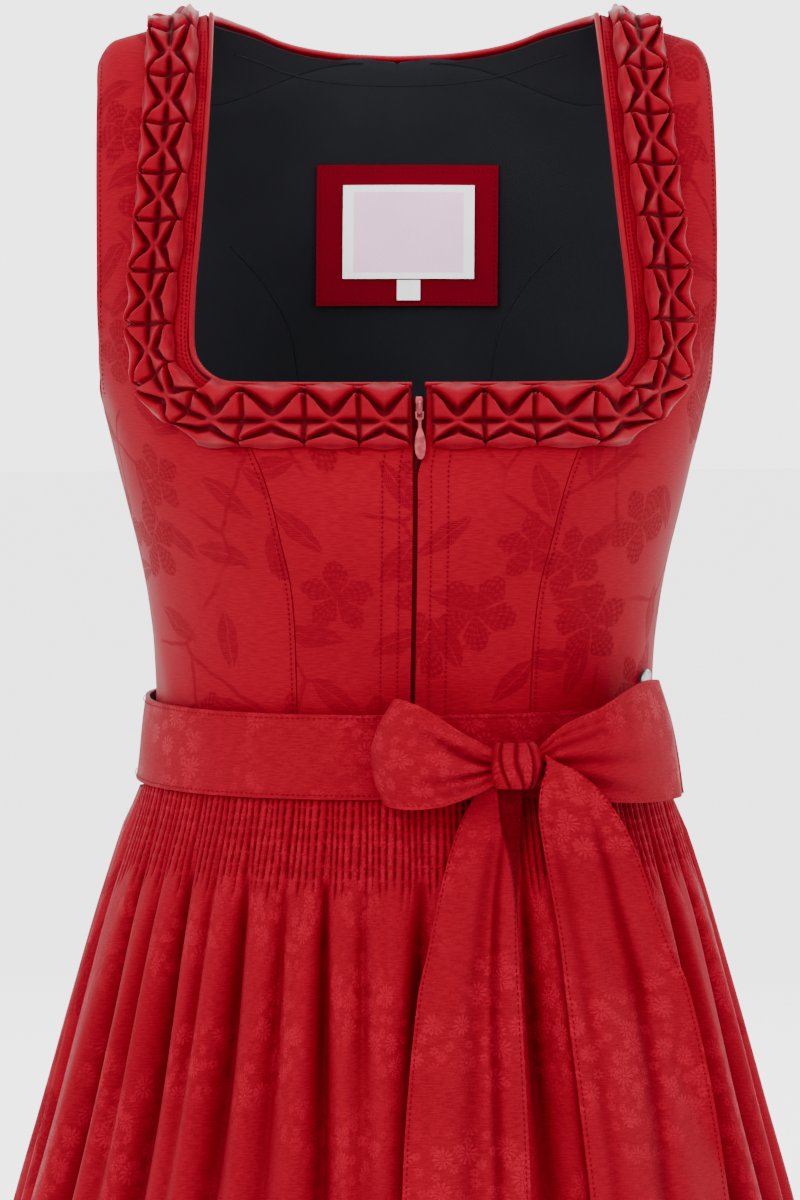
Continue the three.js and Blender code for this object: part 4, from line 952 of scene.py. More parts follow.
TRIM_HALF = 13.0
PLEAT_COUNT = 13
TRIM_LIFT = 0.75
LEFT_PLEATS = [24, 25, 30, 30, 26, 25, 25, 24.5, 23, 25, 25, 25, 24]
RIGHT_PLEATS = [25, 24, 31, 29, 26, 25, 25.5, 25.5, 26, 26, 24, 24, 22]


class TrimMap:
    """Places a point of the trim by its length along and its distance across."""

    def __init__(self, side):
        start = 3.2 if side < 0 else 7.2
        c = NECK_Z - 17.6
        points = [(x, c) for x in np.arange(start, 89, 4)]
        for a in np.radians(np.arange(0, 90.1, 7.5)):
            points.append((89 + 34.5 * math.sin(a), c + 34.5 * (1 - math.cos(a))))
        points += [(float(neck_x(z)) + 17.6, z) for z in np.arange(c + 40, -8, 5)]
        rows = [pair(side * x, z) for x, z in points]
        rows += [[ridge(side * 112)[0], q] for q in (0.95, 0.98, 1.01, 1.04, 1.07, 1.1)]
        self.rows = np.array(rows)
        at = skin(self.rows[:, 0], self.rows[:, 1], False)
        self.run = np.concatenate([[0], np.cumsum(np.linalg.norm(np.diff(at, axis=0), axis=1))])
        self.total = float(self.run[-1])

    def at(self, s):
        s = np.clip(s, 0, self.total)
        return np.interp(s, self.run, self.rows[:, 0]), np.interp(s, self.run, self.rows[:, 1])

    def place(self, s, across, out):
        phi, q = self.at(s)
        p = skin(phi, q, False)
        n = skin_normal(phi, q, False)
        way = skin(*self.at(s + 6), False) - skin(*self.at(s - 6), False)
        way /= np.linalg.norm(way, axis=-1, keepdims=True)
        lateral = np.cross(way, n)
        lateral /= np.linalg.norm(lateral, axis=-1, keepdims=True)
        e = 0.01
        dp = (skin(phi + e, q, False) - p) / e
        dq = (skin(phi, q + e, False) - p) / e
        aa, ab, bb = (dp * dp).sum(-1), (dp * dq).sum(-1), (dq * dq).sum(-1)
        ra, rb = (dp * lateral).sum(-1), (dq * lateral).sum(-1)
        det = aa * bb - ab * ab
        over = 0.9 * smooth(self.total - 62, self.total - 28, s)
        return lay(phi + (bb * ra - ab * rb) / det * across, q + (aa * rb - ab * ra) / det * across,
                   False, out + over)


def pleat_height(s, t):
    """One box pleat drawn to a cross: crisp raised arms, open side pockets, slit facets."""
    a, b = np.abs(s), np.abs(t)
    arm = 0.8 * a
    reach = np.maximum(a, b)
    top = 3.4 + 4.2 * smooth(0.06, 0.72, reach)
    share = np.clip(b / np.maximum(arm, 1e-4), 0, 1)
    crease = 2.9 - 1.9 * smooth(0.12, 0.5, a)
    facet = blend(crease, top, share ** 0.8)
    facet = facet - 1.2 * np.exp(-(b / 0.06) ** 2) * smooth(0.1, 0.35, a)
    w = np.clip((b - arm) / np.maximum(1 - arm, 1e-4), 0, 1)
    slit = 2.6 - 2.0 * smooth(0.1, 0.42, b)
    rim = 4.8 + 2.4 * smooth(0.1, 0.7, a)
    pocket = np.where(w < 0.22, blend(top, slit, smooth(0.02, 0.2, w)),
                      np.where(w < 0.6, blend(slit, rim, smooth(0.26, 0.6, w)),
                               blend(rim, 1.2, smooth(0.68, 1.0, w) ** 1.3)))
    h = np.where(b <= arm, facet, pocket)
    end = smooth(1.0, 0.88, a)
    edge = smooth(1.0, 0.93, b)
    return 1.0 + (h - 1.0) * end * (0.25 + 0.75 * edge)


def pleat_shade(s, t):
    """Painted shade: how far each point of the pleat lies in a slit or pocket."""
    h = pleat_height(s, t)
    low = smooth(4.2, 1.2, h)
    rim = smooth(0.86, 1.0, np.abs(t))
    return np.clip(low * (1 - 0.75 * rim), 0, 1)


class DIRNDL_OT_trim(bpy.types.Operator):
    """Pleat the trim and lay it round the neck"""

    bl_idname = "dirndl.trim"
    bl_label = "Pleated trim"

    def execute(self, context):
        for side, tag in ((-1, "left"), (1, "right")):
            path = TrimMap(side)
            widths = np.array(LEFT_PLEATS if side < 0 else RIGHT_PLEATS)
            ends = np.concatenate([[0], np.cumsum(widths)]) * path.total / widths.sum()

            def place(u, v, path=path, ends=ends):
                k = np.clip((u * PLEAT_COUNT).astype(int), 0, PLEAT_COUNT - 1)
                f = u * PLEAT_COUNT - k
                s = ends[k] + f * (ends[k + 1] - ends[k])
                t = v * 2 - 1
                waist = 1 - 0.045 * np.cos(2 * math.pi * f) * np.abs(t) ** 2
                wob = 0.25 * np.sin(k * 2.1 + 1.3 * side) * t
                h = pleat_height(np.clip(f * 2 - 1, -1, 1), t)
                vary = 1 + 0.05 * np.sin(k * 3.7 + side) - 0.02
                out = TRIM_LIFT + np.minimum(h * vary, 7.6)
                return path.place(s + wob, t * TRIM_HALF * waist * 0.98, out)

            # Painted shade in the slits and pockets of the pleats.
            def dark(u, v):
                return pleat_shade(np.clip((u * PLEAT_COUNT % 1) * 2 - 1, -1, 1), v * 2 - 1)

            obj, size = sheet_piece(f"pleated_trim_{tag}", PLEAT_COUNT * 30, 40, place, 0.5,
                                    finish("trim"), replaces=(f"trim_{tag}",), shade=dark,
                                    out=lambda c: Vector((c.x, c.y * 1.4, c.z + 0.2)))
        return {"FINISHED"}


FRONT_FOLDS = [
    (-88, 0, 0.8, 4), (-78, -1, 0.9, 4.5), (-64, -2.5, 1.1, 4.6), (-55.5, -1.5, 0.6, 3.6),
    (-47.2, -1, 1.15, 5.2), (-40, -1, 0.55, 3.2), (-32.3, -2, 0.95, 5), (-23.6, 0, 0.7, 3.8),
    (-15.5, 3.5, 1.0, 3.6), (-8.5, 2, 0.55, 3.4), (0.6, 0.5, 0.9, 4.6), (9.5, -1, 0.75, 4.2),
    (19, 0.5, 1.0, 4.8), (28.5, 1, 0.8, 4.4), (38, 1, 1.0, 4.6), (47.5, 1.5, 0.85, 4.2),
    (56.5, 2, 1.15, 4.4), (67.5, 1.5, 1.0, 4.4), (77.5, 1, 0.85, 4), (88, 0, 0.8, 4),
]
BACK_FOLDS = [
    (98 + 164 * k / 13 + 2.2 * math.sin(k * 2.3 + 0.6), 1.5 * math.sin(k * 1.7),
     0.85 + 0.25 * math.sin(k * 3.1), 4.6) for k in range(14)
]


EARLY = 8.0


def fold_reach(z):
    """Depth of the folds at a height; they start a little early below the waist."""
    return fold_depth(z - EARLY * smooth(-540, -430, z))


def hip_gain(z):
    """How much deeper the folds are over the hip."""
    return 1 + 0.55 * np.exp(-((z + 460) / 60) ** 2)


def hang(deg, z, out):
    """A point of the skirt, at an angle round the waist and a height."""
    a = np.radians(deg)
    w = flare(z) + out
    share = np.where(np.cos(a) >= 0, front_share(z), back_share(z))
    e = 2 / roundness(z)
    return np.stack([w * spow(np.sin(a), e), -(w * share + out * (1 - share)) * spow(np.cos(a), e),
                     z + 0 * w], axis=-1)


def fold_at(deg, z):
    """How far the folds dip below the skirt's outline."""
    fall = smooth(-415, -800, z)
    wide = 0.34 + 0.36 * smooth(-420, -600, z) + 0.3 * fall
    total = 0.0
    for a, drift, depth, half in FRONT_FOLDS + BACK_FOLDS:
        away = (deg - (a + drift * fall) + 540) % 360 - 180
        d = np.abs(away) / (half * wide)
        total = total + depth * np.exp(-(d ** 1.6) * 1.1)
    return -fold_reach(z) * hip_gain(z) * np.minimum(total, 1.3)


def fold_shade(deg, z):
    """Painted shade: how far a point lies down in a fold valley."""
    deep = -fold_at(deg, z) / fold_reach(z) / hip_gain(z)
    return np.clip(smooth(0.4, 1.05, deep) * smooth(-404, -413, z), 0, 1)


def tuck(z):
    """How far the skirt's top is drawn in under the sash."""
    return 2.6 * smooth(-395, -376, z)


def under(deg):
    """How far the skirt lies back where the apron covers it."""
    return 6.2 * (1 - smooth(APRON_HALF + 0.6, APRON_HALF + 5.5, np.abs(deg)))


def ripple(deg, z, depth):
    """Small soft folds between the large ones, growing below the waist."""
    grow = smooth(-400, -520, z)
    a = np.sin(np.radians(deg) * 37 + 1.7 * np.sin(z / 140)) + 0.7 * np.sin(np.radians(deg) * 61 + z / 90)
    b = np.sin(np.radians(deg) * 23 - z / 170 + 2)
    return depth * grow * (a * 0.4 + b * 0.6)


class DIRNDL_OT_skirt(bpy.types.Operator):
    """Gather the skirt's front and back onto the waist"""

    bl_idname = "dirndl.skirt"
    bl_label = "Skirt"

    def execute(self, context):
        for tag, start, stop, nu, nv in (("front", -90.0, 90.0, 210, 62), ("back", 90.0, 270.0, 240, 70)):
            def place(u, v, start=start, stop=stop, tag=tag):
                deg = blend(start, stop, u)
                z = blend(SKIRT_HEM_Z, SKIRT_TOP_Z, v)
                hide = under(deg) if tag == "front" else 0.0
                away = np.mod(deg + 90, 180)
                edge = smooth(0, 7, np.minimum(away, 180 - away))
                small = ripple(deg, z, 1.6) * edge * (np.abs(deg) > APRON_HALF)
                gather = 0.9 * np.sin(np.radians(deg) * 104) * smooth(-450, -400, z) * (hide < 0.5)
                return hang(deg, z, fold_at(deg, z) - hide - tuck(z) + small - 0.8 + gather * edge)

            # The skirt's fold valleys are darkened with painted shade.
            obj, size = sheet_piece(f"skirt_{tag}_cloth", nu, nv, place, 1.8, finish("satin"),
                                    replaces=(f"skirt_{tag}",), gathered=True, shift=(0.9, 0.3),
                                    shade=lambda u, v, a=start, b=stop: 0.6 * fold_shade(
                                        blend(a, b, u), blend(SKIRT_HEM_Z, SKIRT_TOP_Z, v)))
        return {"FINISHED"}


SPREAD = np.linspace(-APRON_HALF, APRON_HALF, 1600)
WAIST_RUN = np.concatenate([[0], np.cumsum(np.linalg.norm(np.diff(hang(SPREAD, -395.0 + 0 * SPREAD, 0.0),
                                                                  axis=0), axis=1))])
WAIST_RUN /= WAIST_RUN[-1]
PLEATS = 100
RELEASE_Z = -440.0
FIRST_ROW_Z = APRON_TOP_Z - 3.2
ROW_PITCH = 5.6
ROWS = 7


def pleat_angle(share):
    """The angle at a share of the apron's top edge, measured along the cloth."""
    return np.interp(share, WAIST_RUN, SPREAD)


def apron_relief(deg, z, depth):
    """Cartridge pleats: round tubes side by side, nipped at each row of stitches."""
    share = np.interp(deg, SPREAD, WAIST_RUN)
    number = share * PLEATS + 0.1 * np.sin(deg * 0.9) + 0.07 * np.sin(z / 9 + deg)
    valley = 1 - np.abs(np.sin(math.pi * number)) ** 0.6
    level = (FIRST_ROW_Z - z) / ROW_PITCH + 0.05 * np.sin(deg * 0.7) + 0.04 * np.sin(number * 1.9)
    nip = np.exp(-((level - np.rint(level)) / 0.15) ** 2) * smooth(-412, -410, z)
    uneven = 0.5 + 0.5 * np.sin(number * 2.1 + 1.3 * np.sin(number * 0.7))
    release = smooth(-410 - 16 * uneven, -406.5, z)
    return -depth * (valley * (1 - 0.72 * nip) + 0.1 * nip) * release


class DIRNDL_OT_apron(bpy.types.Operator):
    """Smock the apron's top and let it fall in folds"""

    bl_idname = "dirndl.apron"
    bl_label = "Apron"

    def execute(self, context):
        _, shape, _ = settings()
        depth = shape.pleat_depth / MM * 1.35

        def at(deg, z):
            edge = smooth(0, 2.5, APRON_HALF - np.abs(deg))
            out = fold_at(deg, z) + apron_relief(deg, z, depth) + ripple(deg, z, 1.3) * edge * 0.9
            return hang(deg, z, out - 0.1)

        def level(v, low, high):
            return blend(low, high, 1 - (1 - v) ** 1.25)

        shares = np.linspace(0, 1, 881)
        near_hem = at(pleat_angle(shares), level(0.12, APRON_HEM_Z, RELEASE_Z) + 0 * shares) * MM
        run = np.concatenate([[0], np.cumsum(np.linalg.norm(np.diff(near_hem, axis=0), axis=1))])
        spread = run - run[len(run) // 2]
        made, drop = [], 0.0
        for tag, low, high, nu, nv, thick in (("fall", APRON_HEM_Z, RELEASE_Z, 360, 68, 1.5),
                                              ("smocking", RELEASE_Z, APRON_TOP_Z, 800, 56, 1.4)):
            def place(u, v, low=low, high=high):
                return at(pleat_angle(u), level(v, low, high))

            # Painted shade in the valleys of the cartridge pleats and of the folds below.
            def dark(u, v, low=low, high=high):
                deg, z = pleat_angle(u), level(v, low, high)
                pleat = np.clip(-apron_relief(deg, z, 1.0), 0, 1)
                return np.maximum(0.85 * smooth(0.15, 0.85, pleat), 0.62 * fold_shade(deg, z))

            made.append(sheet_piece(f"apron_{tag}", nu, nv, place, thick, finish("apron"),
                                    ("apron",), gathered=True, shade=dark, shift=(0.4, 0.1 + drop),
                                    spread=spread))
            width, drop = made[0][1][:2]
        return {"FINISHED"}


def band(deg, z, out):
    """A point of the sash, at an angle round the waist and a height."""
    a = np.radians(deg)
    extra = sash_width(z) - body_width(z) + out
    depth = np.where(np.cos(a) >= 0, body_front(z), body_back(z))
    e = 2 / FULLNESS
    return np.stack([(body_width(z) + extra) * spow(np.sin(a), e),
                     -(depth + extra) * spow(np.cos(a), e), z + 0 * a], axis=-1)


def path_curves(stations):
    """A curve for each coordinate of the stations, by share of their list."""
    k = np.linspace(0, 1, len(stations))
    return [curve([(t, s[j]) for t, s in zip(k, stations)]) for j in range(4)]


LEFT_LOOP = [
    (38.5, -107, -346, -361.5), (24, -113, -338, -367.5), (8, -117, -328.5, -371.5),
    (-6, -116, -323, -372.5), (-17, -110.5, -320.5, -371.5), (-19.5, -105.5, -321.5, -370),
    (-15, -101.4, -325, -368.5), (2, -98.2, -333, -366), (18, -97.5, -339, -364),
    (37.4, -97.0, -346, -361),
]
RIGHT_LOOP = [
    (55.5, -107, -346, -361.5), (70, -109, -333, -367.5), (88, -106, -325.5, -370.5),
    (104, -96, -319, -372.5), (118, -80, -315.5, -373.5), (126, -66, -317, -373.5),
    (127.5, -57, -320, -373), (123, -56, -323, -371.5), (112, -69, -327, -369), (92, -86, -333, -366.5),
    (76, -94, -339, -364), (57.6, -96.8, -346, -361),
]
LEFT_TAIL = [
    (-364, 29.5, 50.2), (-381, 20.5, 49.8), (-398, 14.4, 48.8), (-415, 9.6, 47.4), (-437, 4.6, 47.2),
    (-460, -1, 48), (-550, -9.5, 51), (-700, -13, 52), (-880, -15, 52),
]
RIGHT_TAIL = [
    (-347.5, 60.2, 61), (-350, 60.8, 65), (-354, 60.4, 74), (-360, 58.6, 82), (-366, 57.4, 87.5),
    (-374, 57, 93.4), (-387, 58.8, 101), (-403.6, 62, 108), (-420, 65, 113.5), (-437, 67.5, 120),
    (-462, 70, 130.5), (-556, 80, 149), (-700, 92, 163), (-880, 104, 176),
]
TURNED_EDGE = [(-440, 47.3), (-420, 46.2), (-398, 43.8), (-381, 40), (-364, 38.2)]
TAIL_END_Z = -880
LEFT_SLANT = [(0, 3), (0.22, -1), (0.5, -2.6), (0.75, 1), (1, 8)]
RIGHT_SLANT = [(0, 4), (0.35, 1.5), (0.7, -2), (1, -7)]
LEFT_CREASES = [(0.55, 0.9, 3.2, 0.07), (0.4, -0.5, 2.8, 0.06), (0.72, 0.3, 1.2, 0.06),
                (0.2, -0.3, 1.4, 0.06)]
RIGHT_CREASES = [(0.86, 0.05, 1.2, 0.035), (0.5, -0.3, 2.6, 0.07), (0.32, -0.75, 3.0, 0.08),
                 (0.68, 0.35, 1.6, 0.06)]
LEFT_WAVES = [(0.3, 3, 0.16, 0.1), (0.9, 2.2, 0.08, 0.0), (0.76, -2.6, 0.045, -0.06),
              (0.5, -1.6, 0.08, 0.2)]
RIGHT_WAVES = [(0.28, 2.6, 0.14, 0.1), (0.72, 3, 0.12, -0.1), (0.5, -2.4, 0.06, 0.3),
               (0.2, -1.2, 0.05, -0.15)]


def loop_place(stations, way, puff, creases, knot_x, end_x, slant):
    """A loop of the bow: out from the knot, round its end and back behind."""
    fx, fy, ft, fb = path_curves(stations)
    lean = curve(slant)

    def place(u, v):
        e = 0.004
        tx, ty = fx(u + e) - fx(u - e), fy(u + e) - fy(u - e)
        l = np.hypot(tx, ty)
        front = (u < 0.5) * np.sin(math.pi * np.clip(u * 2, 0, 1))
        swell = puff * np.sin(math.pi * v) * front
        for c, slope, deep, wide in creases:
            line = (v - c - slope * u) / wide
            swell = swell - deep * np.exp(-line * line) * smooth(0.36, 0.05, u) * smooth(0.0, 0.03, u)
        out = -0.35
        x = fx(u) + (-ty / l) * -out * way + lean(v) * smooth(knot_x, end_x, fx(u))
        y = fy(u) - swell + (tx / l) * -out * way
        return np.stack([x, y, blend(fb(u), ft(u), v)], axis=-1)

    return place


def tail_place(stations, waves, lift, out, over=False):
    """A tail of the bow, from the knot down the apron; one starts over its loop."""
    left = curve([(s[0], s[1]) for s in stations])
    right = curve([(s[0], s[2]) for s in stations])
    top = stations[0][0] + 0.05
    turned = curve(TURNED_EDGE)
    crest = curve([(-376, -112.6), (-366, -113.4), (-356, -112.8), (-350, -110.4), (-347.4, -107.6)])

    def place(u, v):
        z = blend(TAIL_END_Z, top, 1 - (1 - v) ** 1.5)
        x = blend(left(z), right(z), u)
        w, e = flare(z), roundness(z)
        envelope = -(w * front_share(z)) * np.abs(1 - np.abs(x / w) ** e) ** (1 / e)
        settle = smooth(-440, -640, z)
        if over:
            start = crest(np.clip(z, -376, -347.4)) + 0.1 * np.maximum(x - 80, 0)
            room = smooth(-368, -416, z)
        else:
            start = -102.6 - 0.03 * (x - 46)
            room = smooth(-364, -410, z)
        y = blend(start, np.minimum(envelope - lift + 1.3 * settle, start + 9), room)
        wave = sum(a * np.exp(-(((u - c - d * (z + 600) / 500) / b) ** 2)) for c, a, b, d in waves)
        wave = wave * (1 - 0.4 * settle) * smooth(-372, -440, z)
        if not over:
            wave = wave - 2.2 * smooth(0, 0.8, x - turned(z)) * smooth(-438, -425, z)
        return np.stack([x, y - wave - out, z], axis=-1)

    return place


def crease_shade(creases):
    """Painted shade where the creases of a loop or a tail lie deepest."""
    def dark(u, v):
        total = 0.0
        for c, slope, deep, wide in creases:
            line = (v - c - slope * u) / (wide * 0.8)
            total = total + 0.3 * max(deep, 0) * np.exp(-line * line) * smooth(0.36, 0.04, u)
        return np.clip(total, 0, 0.75) * (u < 0.5)
    return dark


def tail_shade(stations, waves, over=False):
    """Painted shade where the folds of a tail lie deepest, darkest under the knot."""
    left = curve([(s[0], s[1]) for s in stations])
    right = curve([(s[0], s[2]) for s in stations])
    top = stations[0][0] + 0.05
    turned = curve(TURNED_EDGE)

    def dark(u, v):
        z = blend(TAIL_END_Z, top, 1 - (1 - v) ** 1.5)
        total = 0.0
        for c, a, b, d in waves:
            line = (u - c - d * (z + 600) / 500) / b
            total = total - min(a, 0) * 0.22 * np.exp(-line * line)
        total = total * smooth(-366, -400, z)
        if not over:
            # Painted shade under the knot and on the turned-back strip of the left tail.
            x = blend(left(z), right(z), u)
            total = total + 0.35 * smooth(-388, -366, z)
            total = total + 0.8 * smooth(0, 0.8, x - turned(z)) * smooth(-438, -428, z)
        return np.clip(total, 0, 0.8)
    return dark


def bow_places():
    """The surfaces of the bow's two loops and two tails."""
    return {
        "loop_left": loop_place(LEFT_LOOP, -1, 3, LEFT_CREASES, 20, -19, LEFT_SLANT),
        "loop_right": loop_place(RIGHT_LOOP, 1, 3, RIGHT_CREASES, 80, 127, RIGHT_SLANT),
        "tail_left": tail_place(LEFT_TAIL, LEFT_WAVES, 3.2, 1.4),
        "tail_right": tail_place(RIGHT_TAIL, RIGHT_WAVES, 3.2, 1.4, True),
    }


class DIRNDL_OT_sash(bpy.types.Operator):
    """Wrap the sash and tie its bow"""

    bl_idname = "dirndl.sash"
    bl_label = "Sash and bow"

    def execute(self, context):
        _, shape, _ = settings()
        deep = shape.crease / MM

        def ring(u, v):
            deg = u * 360
            z = blend(-370, -330, v)
            crease = np.exp(-(((deg - 40) / 14) ** 2)) * np.sin(v * 14 + 2)
            slack = 0.5 * np.sin(np.radians(deg) * 9 + v * 4) * np.sin(math.pi * v)
            hem = 0.35 * smooth(0.07, 0.02, v)
            return band(deg, z, -0.7 + 0.5 * deep * crease + 0.5 * slack + hem)

        obj, size = sheet_piece("sash_band", 360, 20, ring, 2.0, finish("apron"), ("sash",),
                                ring=True)

        places = bow_places()
        for tag, columns, creases, shift in (("left", 130, LEFT_CREASES, (1.2, 0.4)),
                                             ("right", 150, RIGHT_CREASES, (1.7, 0.2))):
            obj, size = sheet_piece(f"loop_{tag}", columns, 30, places[f"loop_{tag}"], 1.2, finish("apron"),
                                    (f"bow_loop_{tag}",), shade=crease_shade(creases),
                                    shift=shift, out=lambda c: Vector((0, -1 if c.y < -0.103 else 0, 0)))
        for tag, columns, stations, waves, shift in (("left", 56, LEFT_TAIL, LEFT_WAVES, (2.1, 0.6)),
                                                     ("right", 64, RIGHT_TAIL, RIGHT_WAVES, (2.6, 0.1))):
            obj, size = sheet_piece(f"tail_{tag}", columns, 150, places[f"tail_{tag}"], 1.2, finish("apron"),
                                    (f"bow_tail_{tag}",), out=to_front,
                                    shade=tail_shade(stations, waves, tag == "right"), shift=shift)

        bm = bmesh.new()
        rings = []
        sides, rows = 110, 36
        deep = []
        for i in range(rows + 1):
            t = i / rows
            z = blend(-341.5, -363.5, t)
            x = 46 + 1.5 * math.sin(t * 3.1)
            bulge = (0.8 + 0.2 * math.sin(t * math.pi)) * (0.93 + 0.07 * min(1, 8 * t, 8 - 8 * t))
            line = []
            for k in range(sides):
                a = k / sides * 2 * math.pi
                face = 1.0 if math.sin(a) < 0 else 0.35
                fold = 0.0
                for c, lean, bow in ((-0.42, 0.45, 0.2), (0.22, 0.35, 0.25), (0.68, 0.1, 0.1)):
                    d = (math.cos(a) - c - lean * (t - 0.5) + bow * math.sin(math.pi * t)) / 0.07
                    fold += math.exp(-d * d)
                squeeze = 0.985 - 0.12 * min(fold, 1) * face
                # Painted shade in the folds on the knot's front.
                deep.append(0.85 * min(fold, 1) * (1.0 if math.sin(a) < 0 else 0.0))
                line.append(bm.verts.new(Vector((
                    x + 12.8 * bulge * squeeze * float(spow(math.cos(a), 0.85)),
                    -103.9 + 11.5 * bulge * squeeze * float(spow(math.sin(a), 0.85)), z)) * MM))
            rings.append(line)
        bridge(bm, rings)
        bm.faces.new(rings[0])
        bm.faces.new(rings[-1][::-1])
        for face in bm.faces:
            face.smooth = len(face.verts) == 4
        painted_shade = bm.verts.layers.float.new("painted_shade")
        bm.verts.ensure_lookup_table()
        for vert, dark in zip(bm.verts, deep):
            vert[painted_shade] = dark
        bmesh.ops.recalc_face_normals(bm, faces=bm.faces[:])
        lay_flat_uv(bm)
        finish_piece(bm, "knot", finish("apron"), ("bow_knot",))
        return {"FINISHED"}


class DIRNDL_OT_zip(bpy.types.Operator):
    """Set the zip's tape and coil and finish its slider and pull"""

    bl_idname = "dirndl.zip"
    bl_label = "Front zip"

    def execute(self, context):
        def tape(u, v):
            z = blend(-374.6, -179, v)
            x = blend(-12, 12, u)
            p = find(zip_line(z) + x, z, False)
            return lay(p[..., 0], p[..., 1], False, INSIDE + 0 * x)

        obj, size = sheet_piece("zip_tape_cloth", 24, 100, tape, 1.0, finish("tape"),
                                ("zip_tape",))

        def coil(u, v):
            z = blend(-374.4, -179.2, v)
            lateral = blend(-1, 1, u)
            p = find(zip_line(z) + lateral * 1.6, z, False)
            tooth = 0.5 + 0.5 * np.cos(2 * math.pi * z / 1.25 + lateral * 1.2)
            dome = np.sqrt(np.clip(1 - lateral ** 2, 0, 1))
            return lay(p[..., 0], p[..., 1], False, INSIDE + 0.05 + dome * (0.5 + 0.95 * tooth))

        sheet_piece("zip_coil", 8, 156 * 6, coil, 0.0, finish("coil"))
        for name in ("zip_slider", "zip_pull"):
            obj = bpy.data.objects[name]
            for slot in obj.material_slots:
                slot.material = finish("metal")
        return {"FINISHED"}


BUTTON_X = 113
BUTTON_Z = -319.5


class DIRNDL_OT_button(bpy.types.Operator):
    """Finish the metal button beside the bow"""

    bl_idname = "dirndl.button"
    bl_label = "Button"

    def execute(self, context):
        phi, q = pair(BUTTON_X, BUTTON_Z)
        n = Vector(skin_normal(phi, q, False))
        at = Vector(lay(phi, q, False, 1.7)) * MM
        profile = [(0.02, 1.7), (1.2, 1.62), (2.4, 1.3), (3.2, 0.95), (3.9, 0.9), (4.2, 1.3), (4.5, 1.5),
                   (4.9, 1.35), (5.2, 0.9), (5.2, 0), (4.9, -0.5), (4.4, -0.7), (0.02, -0.7)]
        bm = bmesh.new()
        verts = [bm.verts.new((x * MM, 0, y * MM)) for x, y in profile]
        edges = [bm.edges.new((a, b)) for a, b in zip(verts, verts[1:])]
        bmesh.ops.spin(bm, geom=verts + edges, axis=(0, 0, 1), cent=(0, 0, 0), angle=2 * math.pi,
                       steps=48, use_merge=True)
        bmesh.ops.remove_doubles(bm, verts=bm.verts[:], dist=3e-5)
        bmesh.ops.recalc_face_normals(bm, faces=bm.faces[:])
        turned = n.to_track_quat("Z", "Y").to_matrix().to_4x4()
        turned.translation = at
        bmesh.ops.transform(bm, matrix=turned, verts=bm.verts[:])
        for face in bm.faces:
            face.smooth = True
        finish_piece(bm, "metal_button", finish("silver"), ("button",))
        return {"FINISHED"}


PATCH_LEVEL = INSIDE - LINING - 2.2


def patch_place(x0, x1, z0, z1, level):
    """A rectangle on the inside of the back, at a level off the skin."""
    def place(u, v):
        p = find(blend(x0, x1, u), blend(z0, z1, v), True)
        return lay(p[..., 0], p[..., 1], True, level + 0 * u)
    return place


class DIRNDL_OT_label(bpy.types.Operator):
    """Sew the patch, its plain label and the size tab to the back lining"""

    bl_idname = "dirndl.label"
    bl_label = "Label"

    def execute(self, context):
        specs = (
            ("back_patch", "label_patch", (-40.5, 52.5, -142.5, -71), 1.2, 1.1, "patch", 40, 30),
            ("plain_label", "label", (-27, 40.5, -128.5, -81), 2.75, 1.1, "label", 30, 24),
            ("plain_size_tab", "size_tab", (1, 12.8, -139.5, -129.3), 2.65, 1.0, "label", 8, 8),
        )
        for name, node, box, rise, thick, look, nu, nv in specs:
            obj, size = sheet_piece(name, nu, nv, patch_place(*box, PATCH_LEVEL - rise), thick,
                                    finish(look), (node,), out=to_front)
        field = patch_place(-21.5, 35, -125.3, -84.3, PATCH_LEVEL - 2.85)
        obj, size = sheet_piece("label_field", 24, 18, field, 0.0, finish("label_field"),
                                out=to_front)
        return {"FINISHED"}


def sew(bm, points, normals, pitch, length, radius):
    """Sets a run of short stitches along a path of points, in millimetres."""
    p = np.asarray(points, float)
    n = np.asarray(normals, float)
    run = np.concatenate([[0], np.cumsum(np.linalg.norm(np.diff(p, axis=0), axis=1))])
    count = max(1, int(run[-1] / pitch))
    at = (np.arange(count) + 0.5) * run[-1] / count

    def value(s, table):
        return np.stack([np.interp(s, run, table[:, j]) for j in range(3)], axis=1)

    centre, up = value(at, p), value(at, n)
    way = value(at + 0.4, p) - value(at - 0.4, p)
    for c, w, u in zip(centre, way, up):
        w, u = Vector(w).normalized(), Vector(u)
        u = (u - w * u.dot(w)).normalized()
        side = w.cross(u)
        turned = Matrix((w * length / 2, side * radius, u * radius)).transposed().to_4x4() * MM
        turned.translation = Vector(c) * MM
        turned[3][3] = 1.0
        bmesh.ops.create_icosphere(bm, subdivisions=1, radius=1.0, matrix=turned)


def skin_path(xs, zs, back, out=0.15):
    """Points and normals of a path on the bodice, from its x and z."""
    at = find(np.asarray(xs, float), np.asarray(zs, float), back)
    phi, q = at[:, 0], at[:, 1]
    return lay(phi, q, back, out), skin_normal(phi, q, back)


def surface_path(place, us, vs, side=1.0):
    """Points and normals of a path on a piece, from its place function."""
    us, vs = np.asarray(us, float), np.asarray(vs, float)
    p = place(us, vs)
    du = place(np.clip(us + 0.004, 0, 1), vs) - place(np.clip(us - 0.004, 0, 1), vs)
    dv = place(us, np.clip(vs + 0.004, 0, 1)) - place(us, np.clip(vs - 0.004, 0, 1))
    n = np.cross(du, dv)
    n /= np.linalg.norm(n, axis=1, keepdims=True)
    n *= side
    return p + n * 0.12, n


def neck_line(side, off):
    """A line of the neck band a set distance outside the neck edge."""
    pts = [(x, NECK_Z - off) for x in np.arange(5.5, 89, 3)]
    for a in np.radians(np.arange(0, 90.1, 6)):
        pts.append((89 + (16.9 + off) * math.sin(a), NECK_Z + 16.9 - (16.9 + off) * math.cos(a)))
    pts += [(float(neck_x(z)) + off, z) for z in np.arange(NECK_Z + 22, -6, 5)]
    return side * np.array([x for x, _ in pts]), np.array([z for _, z in pts])


